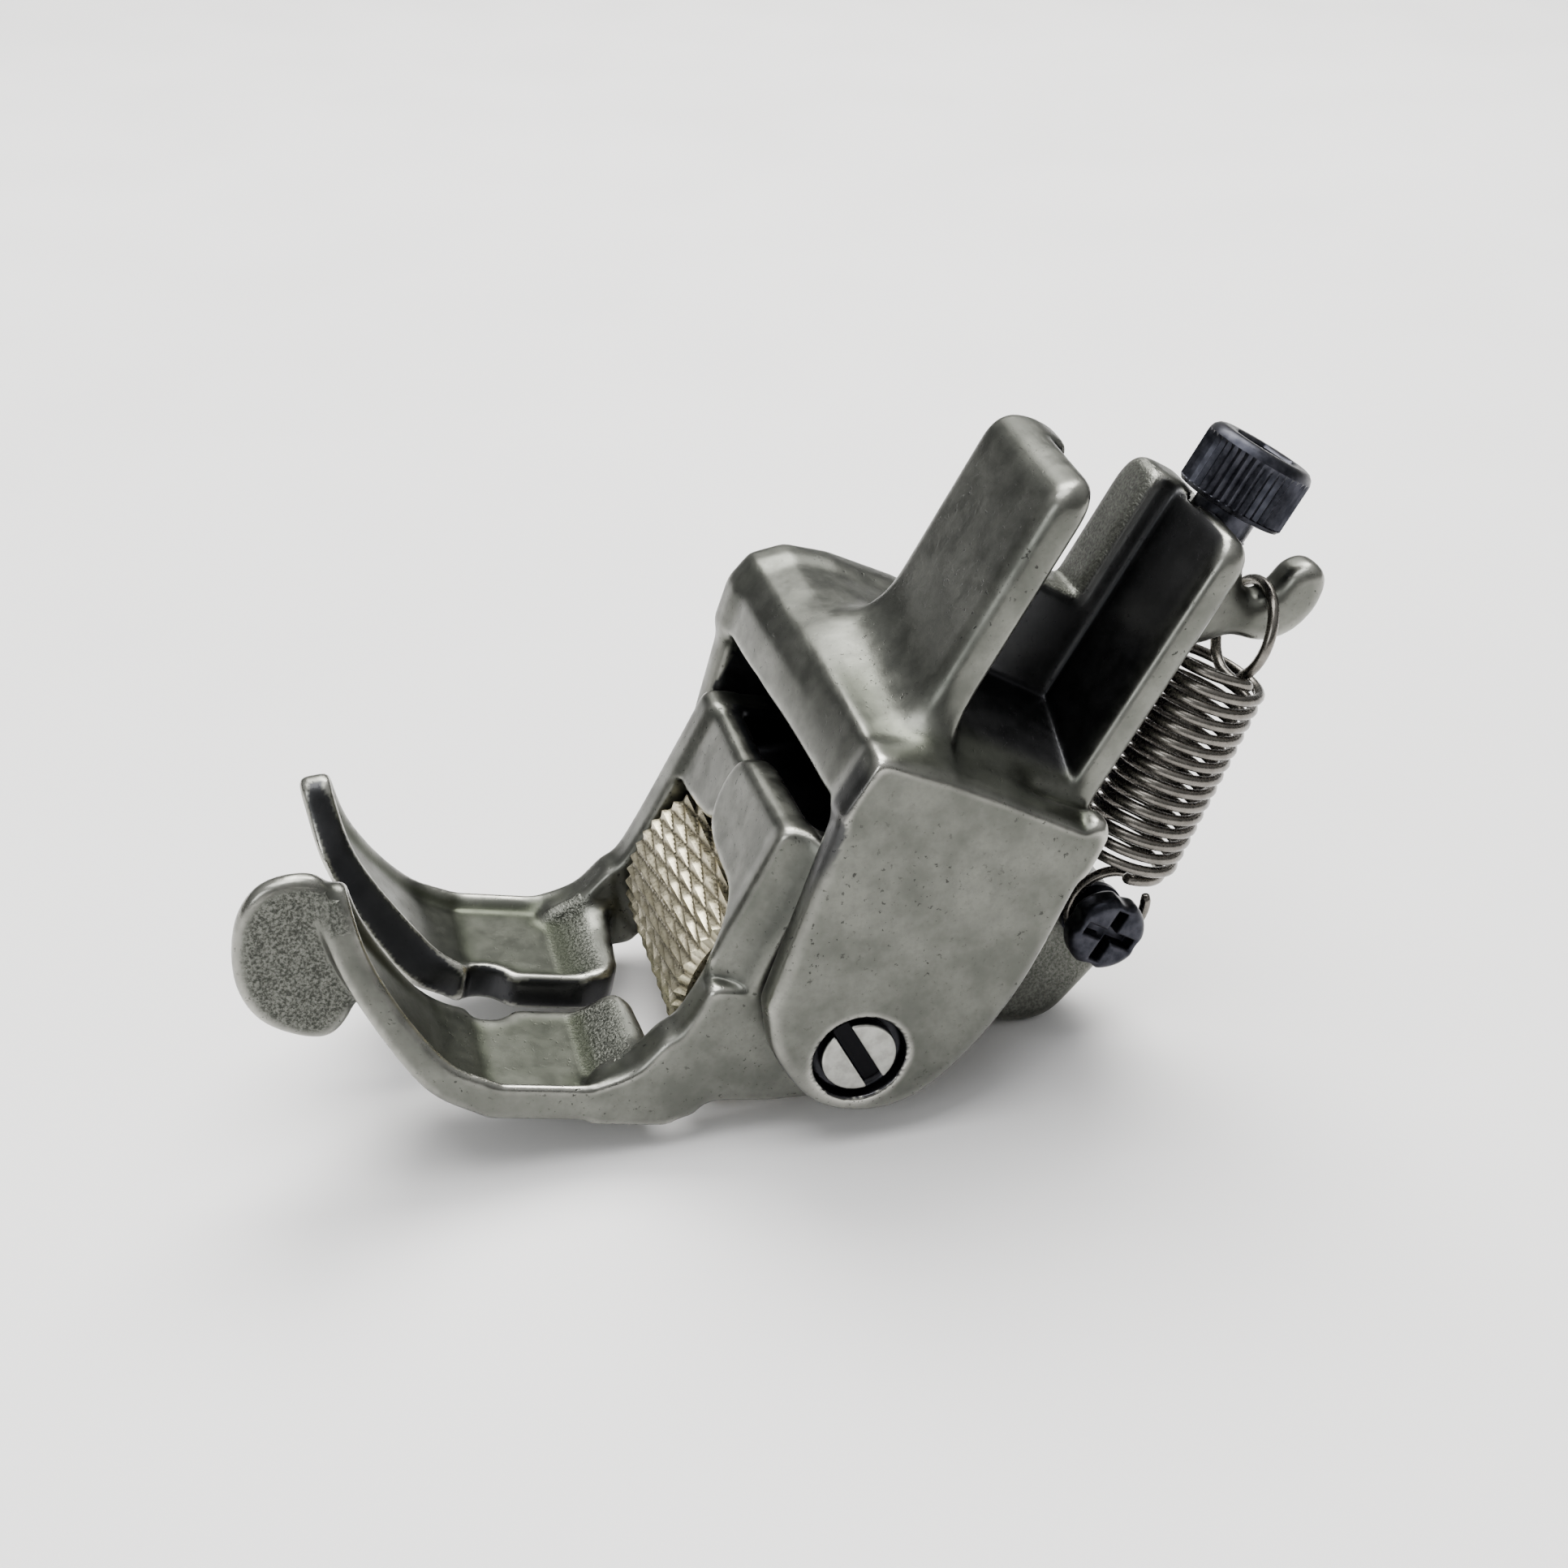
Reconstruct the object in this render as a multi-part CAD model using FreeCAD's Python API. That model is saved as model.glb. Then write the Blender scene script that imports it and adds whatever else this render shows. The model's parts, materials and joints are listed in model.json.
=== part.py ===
import FreeCAD, Part
import math
import os

V = FreeCAD.Vector
os.makedirs("parts", exist_ok=True)

# ---------------------------------------------------------------- driving dimensions (mm, degrees)
SHANK_LEAN = 30.5        # the bar axis leans back from vertical as the foot rests on a table
SOLE_TILT = 12.2         # the flat of the sole tips up at the toes
HINGE_H = 5.80           # hinge axis above the underside of the sole

BODY_HALF = 11.55        # half width over the cheeks
CHEEK_T = 2.00           # cheek thickness
SOLE_HALF = 9.38         # half width of the sole and its arms
ARM_T = 2.30             # thickness of the arms of the sole

SHANK_X0 = -2.00         # outer face of the web
WEB_X1 = 1.70            # inner face of the web
SHANK_X1 = 8.31          # near faces of the two walls
FRONT_Y0 = -5.56
FRONT_Y1 = -3.41
BACK_Y0 = 3.85
BACK_Y1 = 5.75
FRONT_TOP = 29.40
BACK_TOP = 31.00
CHANNEL_FLOOR = 16.6
NOTCH_Z = 24.2           # bottom of the clamp screw notch in the web
NOTCH_Y0 = -2.30
NOTCH_Y1 = 2.30

ROLLER_Y = -2.61         # roller axis, sole coordinates from the hinge
ROLLER_Z = 0.10
ROLLER_R = 5.95
ROLLER_HALF = 6.62
AXLE_R = 1.00
AXLE_HALF = 9.10
BUSH_R = 1.80
BUSH_L = 3.00
SHIM_T = 0.25

SLOT_HALF = 0.52         # slot from the needle hole back to the roller
HINGE_R = 1.15           # shoulder that the sole swings on
TAIL_X0 = -0.20          # sides of the tail
TAIL_X1 = 3.80
HINGE_HEAD_R = 1.95
HINGE_CBORE_R = 2.40
HINGE_CBORE_D = 0.90

SPRING_X = 4.50          # plane of the spring, stop screw side of the foot
STOP_X = 3.20
STOP_Y = 5.90
BOSS_R = 2.50
BOSS_TOP = 29.30
BOSS_LOW = 25.40
STOP_HEAD_R = 2.87
STOP_HEAD_H = 3.40
STOP_R = 1.75
PIN_R = 0.80             # thinner lower end of the stop screw, beside the spring
PIN_TOP = 25.0
STOP_TIP = 11.30         # height of the tip above the hinge, body coordinates
STOP_HEAD_Z = 31.35      # underside of the head

HOOK_X0 = 3.40           # sides of the hook lug
HOOK_X1 = 5.60
RING_R = 2.52            # top ring of the spring, hung round the root of the hook
RING_Y = 9.90
RING_Z = 26.50
RING_TILT = 12.0         # its plane leans back from upright

SPRING_OD = 6.05
SPRING_WIRE = 0.58
SPRING_COILS = 15
SPRING_TOP = (9.60, 24.3)
SPRING_LOW = (11.30, 12.6)

ANCHOR_Y = 12.20         # spring anchor screw, body coordinates, at rest
ANCHOR_Z = 9.05
ANCHOR_HEAD_R = 2.15
ANCHOR_HEAD_H = 1.60
ANCHOR_NECK_R = 1.00

FIT = 0.03               # radial clearance of a running fit


# ---------------------------------------------------------------- helpers
def face_from(points):
    """Flat face in the YZ plane from (y, z) pairs."""
    verts = [V(0, y, z) for y, z in points]
    return Part.Face(Part.makePolygon(verts + [verts[0]]))


def slab(points, x0, x1):
    """Extrude a (y, z) outline from x0 to x1."""
    face = face_from(points)
    face.translate(V(x0, 0, 0))
    return face.extrude(V(x1 - x0, 0, 0))


def plan(points, z0, z1):
    """Extrude an (x, y) outline from z0 to z1."""
    verts = [V(x, y, z0) for x, y in points]
    face = Part.Face(Part.makePolygon(verts + [verts[0]]))
    return face.extrude(V(0, 0, z1 - z0))


def smooth_wire(curve, lines):
    """Closed YZ wire: a spline through curve, then straight lines back to its start."""
    spline = Part.BSplineCurve()
    spline.interpolate([V(0, y, z) for y, z in curve])
    edges = [spline.toShape()]
    chain = [curve[-1]] + list(lines) + [curve[0]]
    for a, b in zip(chain[:-1], chain[1:]):
        edges.append(Part.makeLine(V(0, a[0], a[1]), V(0, b[0], b[1])))
    return Part.Wire(edges)


def smooth_slab(curve, lines, x0, x1):
    face = Part.Face(smooth_wire(curve, lines))
    face.translate(V(x0, 0, 0))
    return face.extrude(V(x1 - x0, 0, 0))


def rod_x(r, x0, x1, y=0.0, z=0.0):
    return Part.makeCylinder(r, x1 - x0, V(x0, y, z), V(1, 0, 0))


def rod_y(r, y0, y1, x=0.0, z=0.0):
    return Part.makeCylinder(r, y1 - y0, V(x, y0, z), V(0, 1, 0))


def rod_z(r, z0, z1, x=0.0, y=0.0):
    return Part.makeCylinder(r, z1 - z0, V(x, y, z0), V(0, 0, 1))


def box(x0, x1, y0, y1, z0, z1):
    return Part.makeBox(x1 - x0, y1 - y0, z1 - z0, V(x0, y0, z0))


def loft_yz(sections):
    """Ruled loft through (x, [(y, z), ...]) sections."""
    wires = []
    for x, pts in sections:
        verts = [V(x, y, z) for y, z in pts]
        wires.append(Part.makePolygon(verts + [verts[0]]))
    return Part.makeLoft(wires, True, True)


def loft_xy(sections):
    """Ruled loft through (z, [(x, y), ...]) sections."""
    wires = []
    for z, pts in sections:
        verts = [V(x, y, z) for x, y in pts]
        wires.append(Part.makePolygon(verts + [verts[0]]))
    return Part.makeLoft(wires, True, True)


def fillet_some(shape, radius, test):
    """Round every edge that passes the test, as many at once as will build."""
    edges = [e for e in shape.Edges if test(e)]
    if not edges:
        return shape
    try:
        out = shape.makeFillet(radius, edges)
        if out.isValid() and out.Volume > 0:
            return out
    except Exception:
        pass
    out = shape
    for e in edges:
        try:
            mid = e.CenterOfMass
            now = [q for q in out.Edges if (q.CenterOfMass - mid).Length < 1e-3]
            if now:
                test_shape = out.makeFillet(radius, now)
                if test_shape.isValid():
                    out = test_shape
        except Exception:
            continue
    return out


def eased(points, count=10):
    """Points along a smooth curve through a few given ones."""
    spline = Part.BSplineCurve()
    spline.interpolate([V(a, b, 0) for a, b in points])
    return [(p.x, p.y) for p in spline.discretize(count)]


def rest_of(yb, zb):
    """Body coordinates to sole coordinates at rest."""
    a = math.radians(SHANK_LEAN - SOLE_TILT)
    return (yb * math.cos(a) + zb * math.sin(a), -yb * math.sin(a) + zb * math.cos(a))


# ---------------------------------------------------------------- shank casting (body coordinates)
lobe = [(-5.92, 0.64), (-4.00, -1.65), (-0.42, -3.35), (3.10, -2.30), (5.05, 0.77), (5.90, 6.20), (5.30, 13.44)]
near_top = [(4.53, 16.32), (-0.52, 15.82), (-6.39, 14.95), (-7.60, 14.71), (-7.96, 11.47)]
far_top = [(4.53, 16.60), (-0.80, 17.10), (-8.00, 16.20), (-9.50, 14.40), (-9.20, 11.50)]
INNER = BODY_HALF - CHEEK_T
near_cheek = smooth_slab(lobe, near_top, INNER, BODY_HALF)
far_cheek = smooth_slab(lobe, far_top, -BODY_HALF, -INNER)

visor = loft_yz([
    (-BODY_HALF, [(-9.20, 11.50), (-9.50, 14.40), (-8.00, 16.20), (-0.80, 17.10), (4.53, 16.60),
                  (5.30, 13.44), (-7.40, 13.20), (-8.20, 11.50)]),
    (-5.50, [(-8.20, 11.48), (-8.20, 14.45), (-6.60, 15.50), (-0.70, 16.60), (4.53, 16.45),
             (5.30, 13.44), (-6.40, 13.20), (-7.20, 11.48)]),
    (BODY_HALF, [(-7.96, 11.47), (-7.60, 14.71), (-6.39, 14.95), (-0.52, 15.82), (4.53, 16.32),
                 (5.30, 13.44), (-6.20, 13.20), (-6.96, 11.47)]),
])
neck = loft_xy([
    (14.0, [(-4.6, -6.6), (9.6, -6.6), (9.6, 5.3), (-4.6, 5.3)]),
    (19.6, [(SHANK_X0, FRONT_Y0), (SHANK_X1, FRONT_Y0), (SHANK_X1, BACK_Y1), (SHANK_X0, BACK_Y1)]),
])
column = box(SHANK_X0, SHANK_X1, FRONT_Y0, BACK_Y1, 14.0, FRONT_TOP)
back_ear = box(SHANK_X0, SHANK_X1, BACK_Y0, BACK_Y1, FRONT_TOP - 0.5, BACK_TOP)
boss = rod_z(BOSS_R, BOSS_LOW, BOSS_TOP, STOP_X, STOP_Y)
boss_foot = loft_xy([
    (21.2, [(1.8, 4.2), (4.6, 4.2), (4.6, 5.8), (1.8, 5.8)]),
    (BOSS_LOW, [(0.9, 4.2), (5.5, 4.2), (5.5, 6.8), (0.9, 6.8)]),
])
column = column.fuse([neck, back_ear, boss, boss_foot])
column = column.cut(box(WEB_X1, SHANK_X1 + 8, FRONT_Y1, BACK_Y0, CHANNEL_FLOOR, 40))
column = column.cut(box(SHANK_X0 - 1, WEB_X1 + 1, NOTCH_Y0, NOTCH_Y1, NOTCH_Z, 40))
column = column.cut(rod_x((NOTCH_Y1 - NOTCH_Y0) / 2, SHANK_X0 - 1, WEB_X1 + 1,
                          (NOTCH_Y0 + NOTCH_Y1) / 2, NOTCH_Z))
shank = near_cheek.fuse([far_cheek, visor, column])
shank = shank.cut(rod_z(STOP_R + 0.05, PIN_TOP - 0.6, 40, STOP_X, STOP_Y))
shank = shank.cut(rod_z(PIN_R + 0.10, 10, 40, STOP_X, STOP_Y))
for side in (1, -1):
    x_out = side * BODY_HALF
    lo = min(side * (INNER - 1), x_out + side)
    hi = max(side * (INNER - 1), x_out + side)
    shank = shank.cut(rod_x(HINGE_R + 0.25, lo, hi))
    lo = min(x_out - side * HINGE_CBORE_D, x_out + side)
    hi = max(x_out - side * HINGE_CBORE_D, x_out + side)
    shank = shank.cut(rod_x(HINGE_CBORE_R, lo, hi))
shank = shank.removeSplitter()

# ---------------------------------------------------------------- hook for the spring (on the back wall)
hook_curve = [(5.75, 24.2), (8.5, 25.75), (10.6, 26.3), (11.9, 27.5), (12.45, 29.2), (11.9, 30.8), (10.8, 31.2),
              (9.9, 30.4), (9.7, 29.1), (8.9, 28.1), (7.4, 27.9), (5.75, 28.2)]
hook_post = smooth_slab(hook_curve, [], HOOK_X0, HOOK_X1)
tilt = math.radians(RING_TILT)
ring_c = V(SPRING_X, RING_Y, RING_Z)
ring_normal = V(0, math.cos(tilt), math.sin(tilt))
ring_room = Part.makeTorus(RING_R, SPRING_WIRE / 2 + 0.06, ring_c, ring_normal)
hook_post = hook_post.cut([shank, rod_z(STOP_R + 0.05, 10, 40, STOP_X, STOP_Y), ring_room]).removeSplitter()

# ---------------------------------------------------------------- stop screw
stop_screw = rod_z(STOP_R, PIN_TOP, STOP_HEAD_Z + 0.1, STOP_X, STOP_Y)
pin = rod_z(PIN_R, STOP_TIP + 0.3, PIN_TOP + 0.1, STOP_X, STOP_Y)
tip = Part.makeCone(0.6, PIN_R, 0.3, V(STOP_X, STOP_Y, STOP_TIP), V(0, 0, 1))
head = rod_z(STOP_HEAD_R, STOP_HEAD_Z, STOP_HEAD_Z + STOP_HEAD_H, STOP_X, STOP_Y)
head = fillet_some(head, 0.35, lambda e: e.CenterOfMass.z > STOP_HEAD_Z + STOP_HEAD_H - 0.1)
hexagon = []
for i in range(6):
    a = math.radians(60 * i)
    hexagon.append((STOP_X + 1.62 * math.cos(a), STOP_Y + 1.62 * math.sin(a)))
socket = plan(hexagon, STOP_HEAD_Z + STOP_HEAD_H - 2.0, STOP_HEAD_Z + STOP_HEAD_H + 1)
stop_screw = stop_screw.fuse([pin, tip, head]).cut(socket).removeSplitter()

# ---------------------------------------------------------------- hinge screws
screws = {}
for name, side in (("near", 1), ("far", -1)):
    x_seat = BODY_HALF - HINGE_CBORE_D
    x_end = SOLE_HALF - ARM_T + 0.35
    shoulder = rod_x(HINGE_R, x_end, x_seat + 0.05)
    thread = rod_x(HINGE_R + 0.25, INNER + 0.05, x_seat + 0.05)
    cap = rod_x(HINGE_HEAD_R, x_seat, BODY_HALF - 0.12)
    slot = box(BODY_HALF - 0.65, BODY_HALF + 1, -0.45, 0.45, -4, 4)
    slot.rotate(V(0, 0, 0), V(1, 0, 0), 57.5)
    screw = shoulder.fuse([thread, cap]).cut(slot).removeSplitter()
    if side < 0:
        screw = screw.mirror(V(0, 0, 0), V(1, 0, 0))
    screws[name] = screw

# ---------------------------------------------------------------- sole casting (sole coordinates from the hinge)
H = HINGE_H
toe_under = eased([(-27.33, 12.10), (-26.21, 8.52), (-23.21, 3.84), (-20.40, 1.10), (-17.60, 0.0)])
toe_over = eased([(-15.40, 2.10), (-20.37, 2.90), (-23.87, 6.30), (-26.90, 12.10)])
band = toe_under + [(-8.70, 0.0), (-9.90, 2.3), (-11.88, 2.05)] + toe_over
plate = slab([(y, z - H) for y, z in band], -SOLE_HALF, SOLE_HALF)
right = [(SOLE_HALF, -7.0)] + eased([(SOLE_HALF, -18.6), (8.40, -22.8), (6.60, -26.6), (5.10, -27.6), (3.90, -26.0),
                                     (0.70, -18.6)], 16) + [(0.55, -16.8)]
outline = right + [(-x, y) for x, y in reversed(right)]
plate = plate.common(plan(outline, -10, 12))
plate = plate.cut(rod_z(1.45, -10, 0, 0.0, -16.6))
plate = plate.cut(box(-SLOT_HALF, SLOT_HALF, -17.0, -7.0, -10, 10))
fin = slab([(-26.9, 11.3 - H), (-29.0, 10.9 - H), (-30.4, 9.2 - H), (-30.4, 6.8 - H), (-29.5, 4.1 - H),
            (-27.9, 2.8 - H), (-25.5, 2.45 - H), (-23.9, 5.4 - H), (-25.9, 9.5 - H)], 5.15, 6.25)
arm_shape = [(-9.90, 0.0 - H), (-8.70, 0.0 - H), (-6.41, 1.30 - H),
             (-3.19, 1.42 - H), (0.0, 2.0 - H), (3.4, 3.3 - H), (5.2, 5.8 - H), (5.6, 9.0 - H),
             (5.4, 14.4 - H), (3.6, 15.6 - H), (-3.2, 17.0 - H), (-5.00, 17.0 - H), (-6.35, 12.43 - H),
             (-8.06, 6.57 - H), (-9.60, 4.9 - H), (-10.60, 3.2 - H), (-12.0, 2.2 - H)]
arms = [slab(arm_shape, SOLE_HALF - ARM_T, SOLE_HALF), slab(arm_shape, -SOLE_HALF, -SOLE_HALF + ARM_T)]
bridge = slab([(-5.55, 15.2 - H), (-5.00, 17.0 - H), (-3.2, 17.0 - H), (3.6, 15.6 - H), (5.4, 14.4 - H),
               (5.6, 9.0 - H), (5.4, 5.6 - H), (-6.9, 10.6 - H)], -SOLE_HALF, SOLE_HALF)
bridge = bridge.cut(rod_x(ROLLER_R + 0.75, -SOLE_HALF + ARM_T, SOLE_HALF - ARM_T, ROLLER_Y, ROLLER_Z))
tail = slab([(4.4, 14.6 - H), (5.5, 14.9 - H), (10.2, 14.3 - H), (14.6, 12.2 - H), (17.0, 10.6 - H),
             (16.9, 8.6 - H), (15.3, 5.6 - H), (14.0, 3.5 - H), (11.9, 2.85 - H), (10.0, 3.4 - H), (8.2, 5.4 - H),
             (5.0, 8.0 - H)], TAIL_X0, TAIL_X1)
pad = box(TAIL_X0, 6.0, 0.0, STOP_Y + 2.3, STOP_TIP - 2.6, STOP_TIP - 0.05)
pad.rotate(V(0, 0, 0), V(1, 0, 0), -(SHANK_LEAN - SOLE_TILT))
sole = plate.fuse(arms + [bridge, tail, pad, fin])
sole = sole.cut(rod_x(ROLLER_R + 0.45, -SOLE_HALF + ARM_T, SOLE_HALF - ARM_T, ROLLER_Y, ROLLER_Z))
sole = sole.cut(rod_x(HINGE_R + FIT, -20, 20))
sole = sole.cut(rod_x(AXLE_R, -AXLE_HALF, AXLE_HALF, ROLLER_Y, ROLLER_Z))
anchor_y, anchor_z = rest_of(ANCHOR_Y, ANCHOR_Z)
sole = sole.cut(rod_x(ANCHOR_NECK_R - 0.15, TAIL_X0 - 1, TAIL_X1 + 1, anchor_y, anchor_z))
grubs = {}
for name, side in (("near", 1), ("far", -1)):
    gx = side * (SOLE_HALF - ARM_T / 2)
    sole = sole.cut(rod_z(0.70, -8.0, ROLLER_Z, gx, ROLLER_Y))
    grub = rod_z(0.70, 1.75 - H, ROLLER_Z, gx, ROLLER_Y)
    grub = grub.cut(rod_x(AXLE_R, -20, 20, ROLLER_Y, ROLLER_Z))
    grub = grub.cut(box(gx - 2, gx + 2, ROLLER_Y - 0.15, ROLLER_Y + 0.15, -9, 2.2 - H))
    grubs[name] = grub
sole = sole.removeSplitter()

# ---------------------------------------------------------------- roller, bushes, axle, shims
roller = rod_x(ROLLER_R, -ROLLER_HALF, ROLLER_HALF, ROLLER_Y, ROLLER_Z)
roller = fillet_some(roller, 0.4, lambda e: abs(e.CenterOfMass.x) > ROLLER_HALF - 0.01)
roller = roller.cut(rod_x(BUSH_R, -10, 10, ROLLER_Y, ROLLER_Z))
axle_bore = rod_x(AXLE_R + FIT, -10, 10, ROLLER_Y, ROLLER_Z)
bush_near = rod_x(BUSH_R, ROLLER_HALF - BUSH_L, ROLLER_HALF - 0.05, ROLLER_Y, ROLLER_Z).cut(axle_bore)
bush_far = rod_x(BUSH_R, 0.05 - ROLLER_HALF, BUSH_L - ROLLER_HALF, ROLLER_Y, ROLLER_Z).cut(axle_bore)
axle = rod_x(AXLE_R, -AXLE_HALF, AXLE_HALF, ROLLER_Y, ROLLER_Z)
shim_x = ROLLER_HALF + 0.10
shim_near = rod_x(2.6, shim_x, shim_x + SHIM_T, ROLLER_Y, ROLLER_Z).cut(axle_bore)
shim_far = rod_x(2.6, -shim_x - SHIM_T, -shim_x, ROLLER_Y, ROLLER_Z).cut(axle_bore)

# ---------------------------------------------------------------- spring anchor (body coordinates at rest)
collar = rod_x(1.75, TAIL_X1, TAIL_X1 + 0.35, ANCHOR_Y, ANCHOR_Z)
collar = collar.cut(rod_x(ANCHOR_NECK_R, 0, 9, ANCHOR_Y, ANCHOR_Z))
neck_end = TAIL_X1 + 1.25
anchor = rod_x(ANCHOR_NECK_R, TAIL_X1, neck_end + 0.2, ANCHOR_Y, ANCHOR_Z)
anchor_thread = rod_x(ANCHOR_NECK_R - 0.15, TAIL_X0 + 0.2, TAIL_X1, ANCHOR_Y, ANCHOR_Z)
anchor_head = rod_x(ANCHOR_HEAD_R, neck_end, neck_end + ANCHOR_HEAD_H, ANCHOR_Y, ANCHOR_Z)
anchor_head = fillet_some(anchor_head, 0.6, lambda e: e.CenterOfMass.x > neck_end + ANCHOR_HEAD_H - 0.1)
cross_a = box(neck_end + 0.7, 20, -0.32, 0.32, -1.35, 1.35)
cross_b = box(neck_end + 0.7, 20, -1.35, 1.35, -0.32, 0.32)
cross = cross_a.fuse(cross_b)
cross.translate(V(0, ANCHOR_Y, ANCHOR_Z))
anchor = anchor.fuse([anchor_thread, anchor_head]).cut(cross).removeSplitter()

# ---------------------------------------------------------------- spring (body coordinates at rest)
COIL_R = (SPRING_OD - SPRING_WIRE) / 2
low_c = V(SPRING_X, ANCHOR_Y + 0.35, ANCHOR_Z - ANCHOR_NECK_R - 0.12 - SPRING_WIRE / 2 + 2.2)
start = V(SPRING_X, SPRING_LOW[0], SPRING_LOW[1])
finish = V(SPRING_X, SPRING_TOP[0], SPRING_TOP[1])
along = finish - start
height = along.Length
along.normalize()
pitch = height / SPRING_COILS
helix = Part.makeHelix(pitch, height, COIL_R)
ring = Part.Wire(Part.makeCircle(SPRING_WIRE / 2, V(COIL_R, 0, 0), V(0, 1, 0)))
coils = Part.Wire(helix.Edges).makePipeShell([ring], True, True)
seat = FreeCAD.Placement(start, FreeCAD.Rotation(V(0, 0, 1), along))
coils.Placement = seat
WR = SPRING_WIRE / 2


def strut(a, b, r):
    """Rod with rounded ends."""
    rod = Part.makeCylinder(r, (b - a).Length, a, b - a)
    return rod.fuse([Part.makeSphere(r, a), Part.makeSphere(r, b)])


arm_a = seat.multVec(V(COIL_R, 0, 0))
arm_b = seat.multVec(V(COIL_R, 0, height))
low_ring = Part.makeTorus(2.2, WR, low_c, V(1, 0, 0))
low_ring = low_ring.cut(box(SPRING_X - 1, SPRING_X + 1, low_c.y - 3, low_c.y, low_c.z + 0.6, low_c.z + 3))
top_ring = Part.makeTorus(RING_R, WR, ring_c, ring_normal)
low_join = low_c + V(0, 0, 2.2)
top_join = ring_c + V(0, RING_R * math.sin(tilt), -RING_R * math.cos(tilt))
spring = coils.fuse([low_ring, strut(arm_a, low_join, WR), strut(arm_b, top_join, 0.94 * WR)])
spring = spring.fuse(top_ring)

# ---------------------------------------------------------------- place, centre and write
body_nodes = {
    "shank_body": shank, "hook_post": hook_post, "stop_screw": stop_screw,
    "hinge_screw_near": screws["near"], "hinge_screw_far": screws["far"],
    "anchor_screw": anchor, "anchor_collar": collar, "tension_spring": spring,
}
sole_nodes = {
    "sole": sole, "roller": roller, "roller_bush_near": bush_near, "roller_bush_far": bush_far,
    "roller_axle": axle, "axle_shim_near": shim_near, "axle_shim_far": shim_far,
    "axle_screw_near": grubs["near"], "axle_screw_far": grubs["far"],
}
nodes = {}
for group, angle in ((body_nodes, -SHANK_LEAN), (sole_nodes, -SOLE_TILT)):
    for name, shape in group.items():
        turned = shape.copy()
        turned.rotate(V(0, 0, 0), V(1, 0, 0), angle)
        nodes[name] = turned
whole = FreeCAD.BoundBox()
for shape in nodes.values():
    whole.add(shape.optimalBoundingBox(True))
shift = V(-(whole.XMin + whole.XMax) / 2, -(whole.YMin + whole.YMax) / 2, -whole.ZMin)
for name in sorted(nodes):
    shape = nodes[name]
    shape.translate(shift)
    shape.exportStep("parts/%s.step" % name)
    print(name, shape.ShapeType, len(shape.Solids), shape.isValid(), round(shape.Volume, 2))
print("hinge axis", round(shift.y, 4), round(shift.z, 4), "shift x", round(shift.x, 4))
print("size", round(whole.XLength, 3), round(whole.YLength, 3), round(whole.ZLength, 3))
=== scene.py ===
"""Looks of a sprung, hinged roller presser foot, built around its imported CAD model.

The two castings are signed distance fields on a grid, meshed by surface nets, so that their
walls flow into each other with cast fillets. The turned pieces are swept or lathed grids.
Working lengths are millimetres in two local frames, both with x along the hinge axis:
  body   origin on the hinge axis, z along the presser bar, y rearwards
  sole   y along the sole, z up from the flat underside of the sole
"""
import json
import math

import bpy
import numpy as np
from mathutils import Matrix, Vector


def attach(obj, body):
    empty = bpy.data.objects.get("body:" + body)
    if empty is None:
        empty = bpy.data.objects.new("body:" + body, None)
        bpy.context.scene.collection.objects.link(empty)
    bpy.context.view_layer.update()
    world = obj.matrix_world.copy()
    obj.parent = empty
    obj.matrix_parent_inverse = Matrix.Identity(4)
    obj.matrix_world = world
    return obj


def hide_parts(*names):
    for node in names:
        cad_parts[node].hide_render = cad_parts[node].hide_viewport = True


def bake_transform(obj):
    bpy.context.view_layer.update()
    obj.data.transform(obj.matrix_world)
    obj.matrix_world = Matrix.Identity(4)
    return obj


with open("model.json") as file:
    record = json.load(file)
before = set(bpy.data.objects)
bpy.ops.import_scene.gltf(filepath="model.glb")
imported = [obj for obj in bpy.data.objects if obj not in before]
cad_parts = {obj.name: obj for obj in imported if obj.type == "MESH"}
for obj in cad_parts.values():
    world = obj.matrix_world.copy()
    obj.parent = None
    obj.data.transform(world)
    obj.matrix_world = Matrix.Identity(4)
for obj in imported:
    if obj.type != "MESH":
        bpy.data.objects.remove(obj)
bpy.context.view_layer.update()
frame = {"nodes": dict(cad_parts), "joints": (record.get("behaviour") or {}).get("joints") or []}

# ---------------------------------------------------------------- dimensions (mm, degrees)
BODY_LEAN = -30.5
SOLE_LEAN = -12.2
HINGE_ABOVE_SOLE = 5.80
joints = {j["name"]: j for j in frame["joints"]}
HINGE = np.array(joints["sole_hinge"]["pos_m"]) * 1000.0

BODY_HALF = 11.55                       # half width over the cheeks of the shank
CHEEK_IN = 9.55                         # inner face of a cheek
SOLE_HALF = 9.38                        # half width of the sole
ARM_IN = 7.08                           # inner face of an arm of the sole
SHANK_X0, WEB_X, SHANK_X1 = -2.00, 1.70, 8.31
FRONT_Y0, FRONT_Y1 = -5.56, -3.41       # front wall of the channel
BACK_Y0, BACK_Y1 = 3.85, 5.75           # back wall of the channel
NOTCH_HALF, NOTCH_Z = 2.30, 23.7        # slot for the clamp screw in the web
COUNTERBORE_R, COUNTERBORE_DEPTH = 2.40, 0.90
ROLLER_Y, ROLLER_Z, ROLLER_R, ROLLER_HALF = -2.61, 5.90, 5.95, 6.62
SPRING_X = 4.50
STOP_X, STOP_Y = 3.20, 5.90
PIN_TOP = 24.4                          # where the stop screw's bore narrows to its pin
RING_Y, RING_Z, RING_R, RING_TILT = 9.90, 26.50, 2.52, 12.0
ANCHOR_Y, ANCHOR_Z = 12.20, 9.05
FACE_FOOT_Y, FACE_FOOT_Z, FACE_SLOPE = -8.06, 6.57, 0.293   # sloping front face of the roller housing
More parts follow.
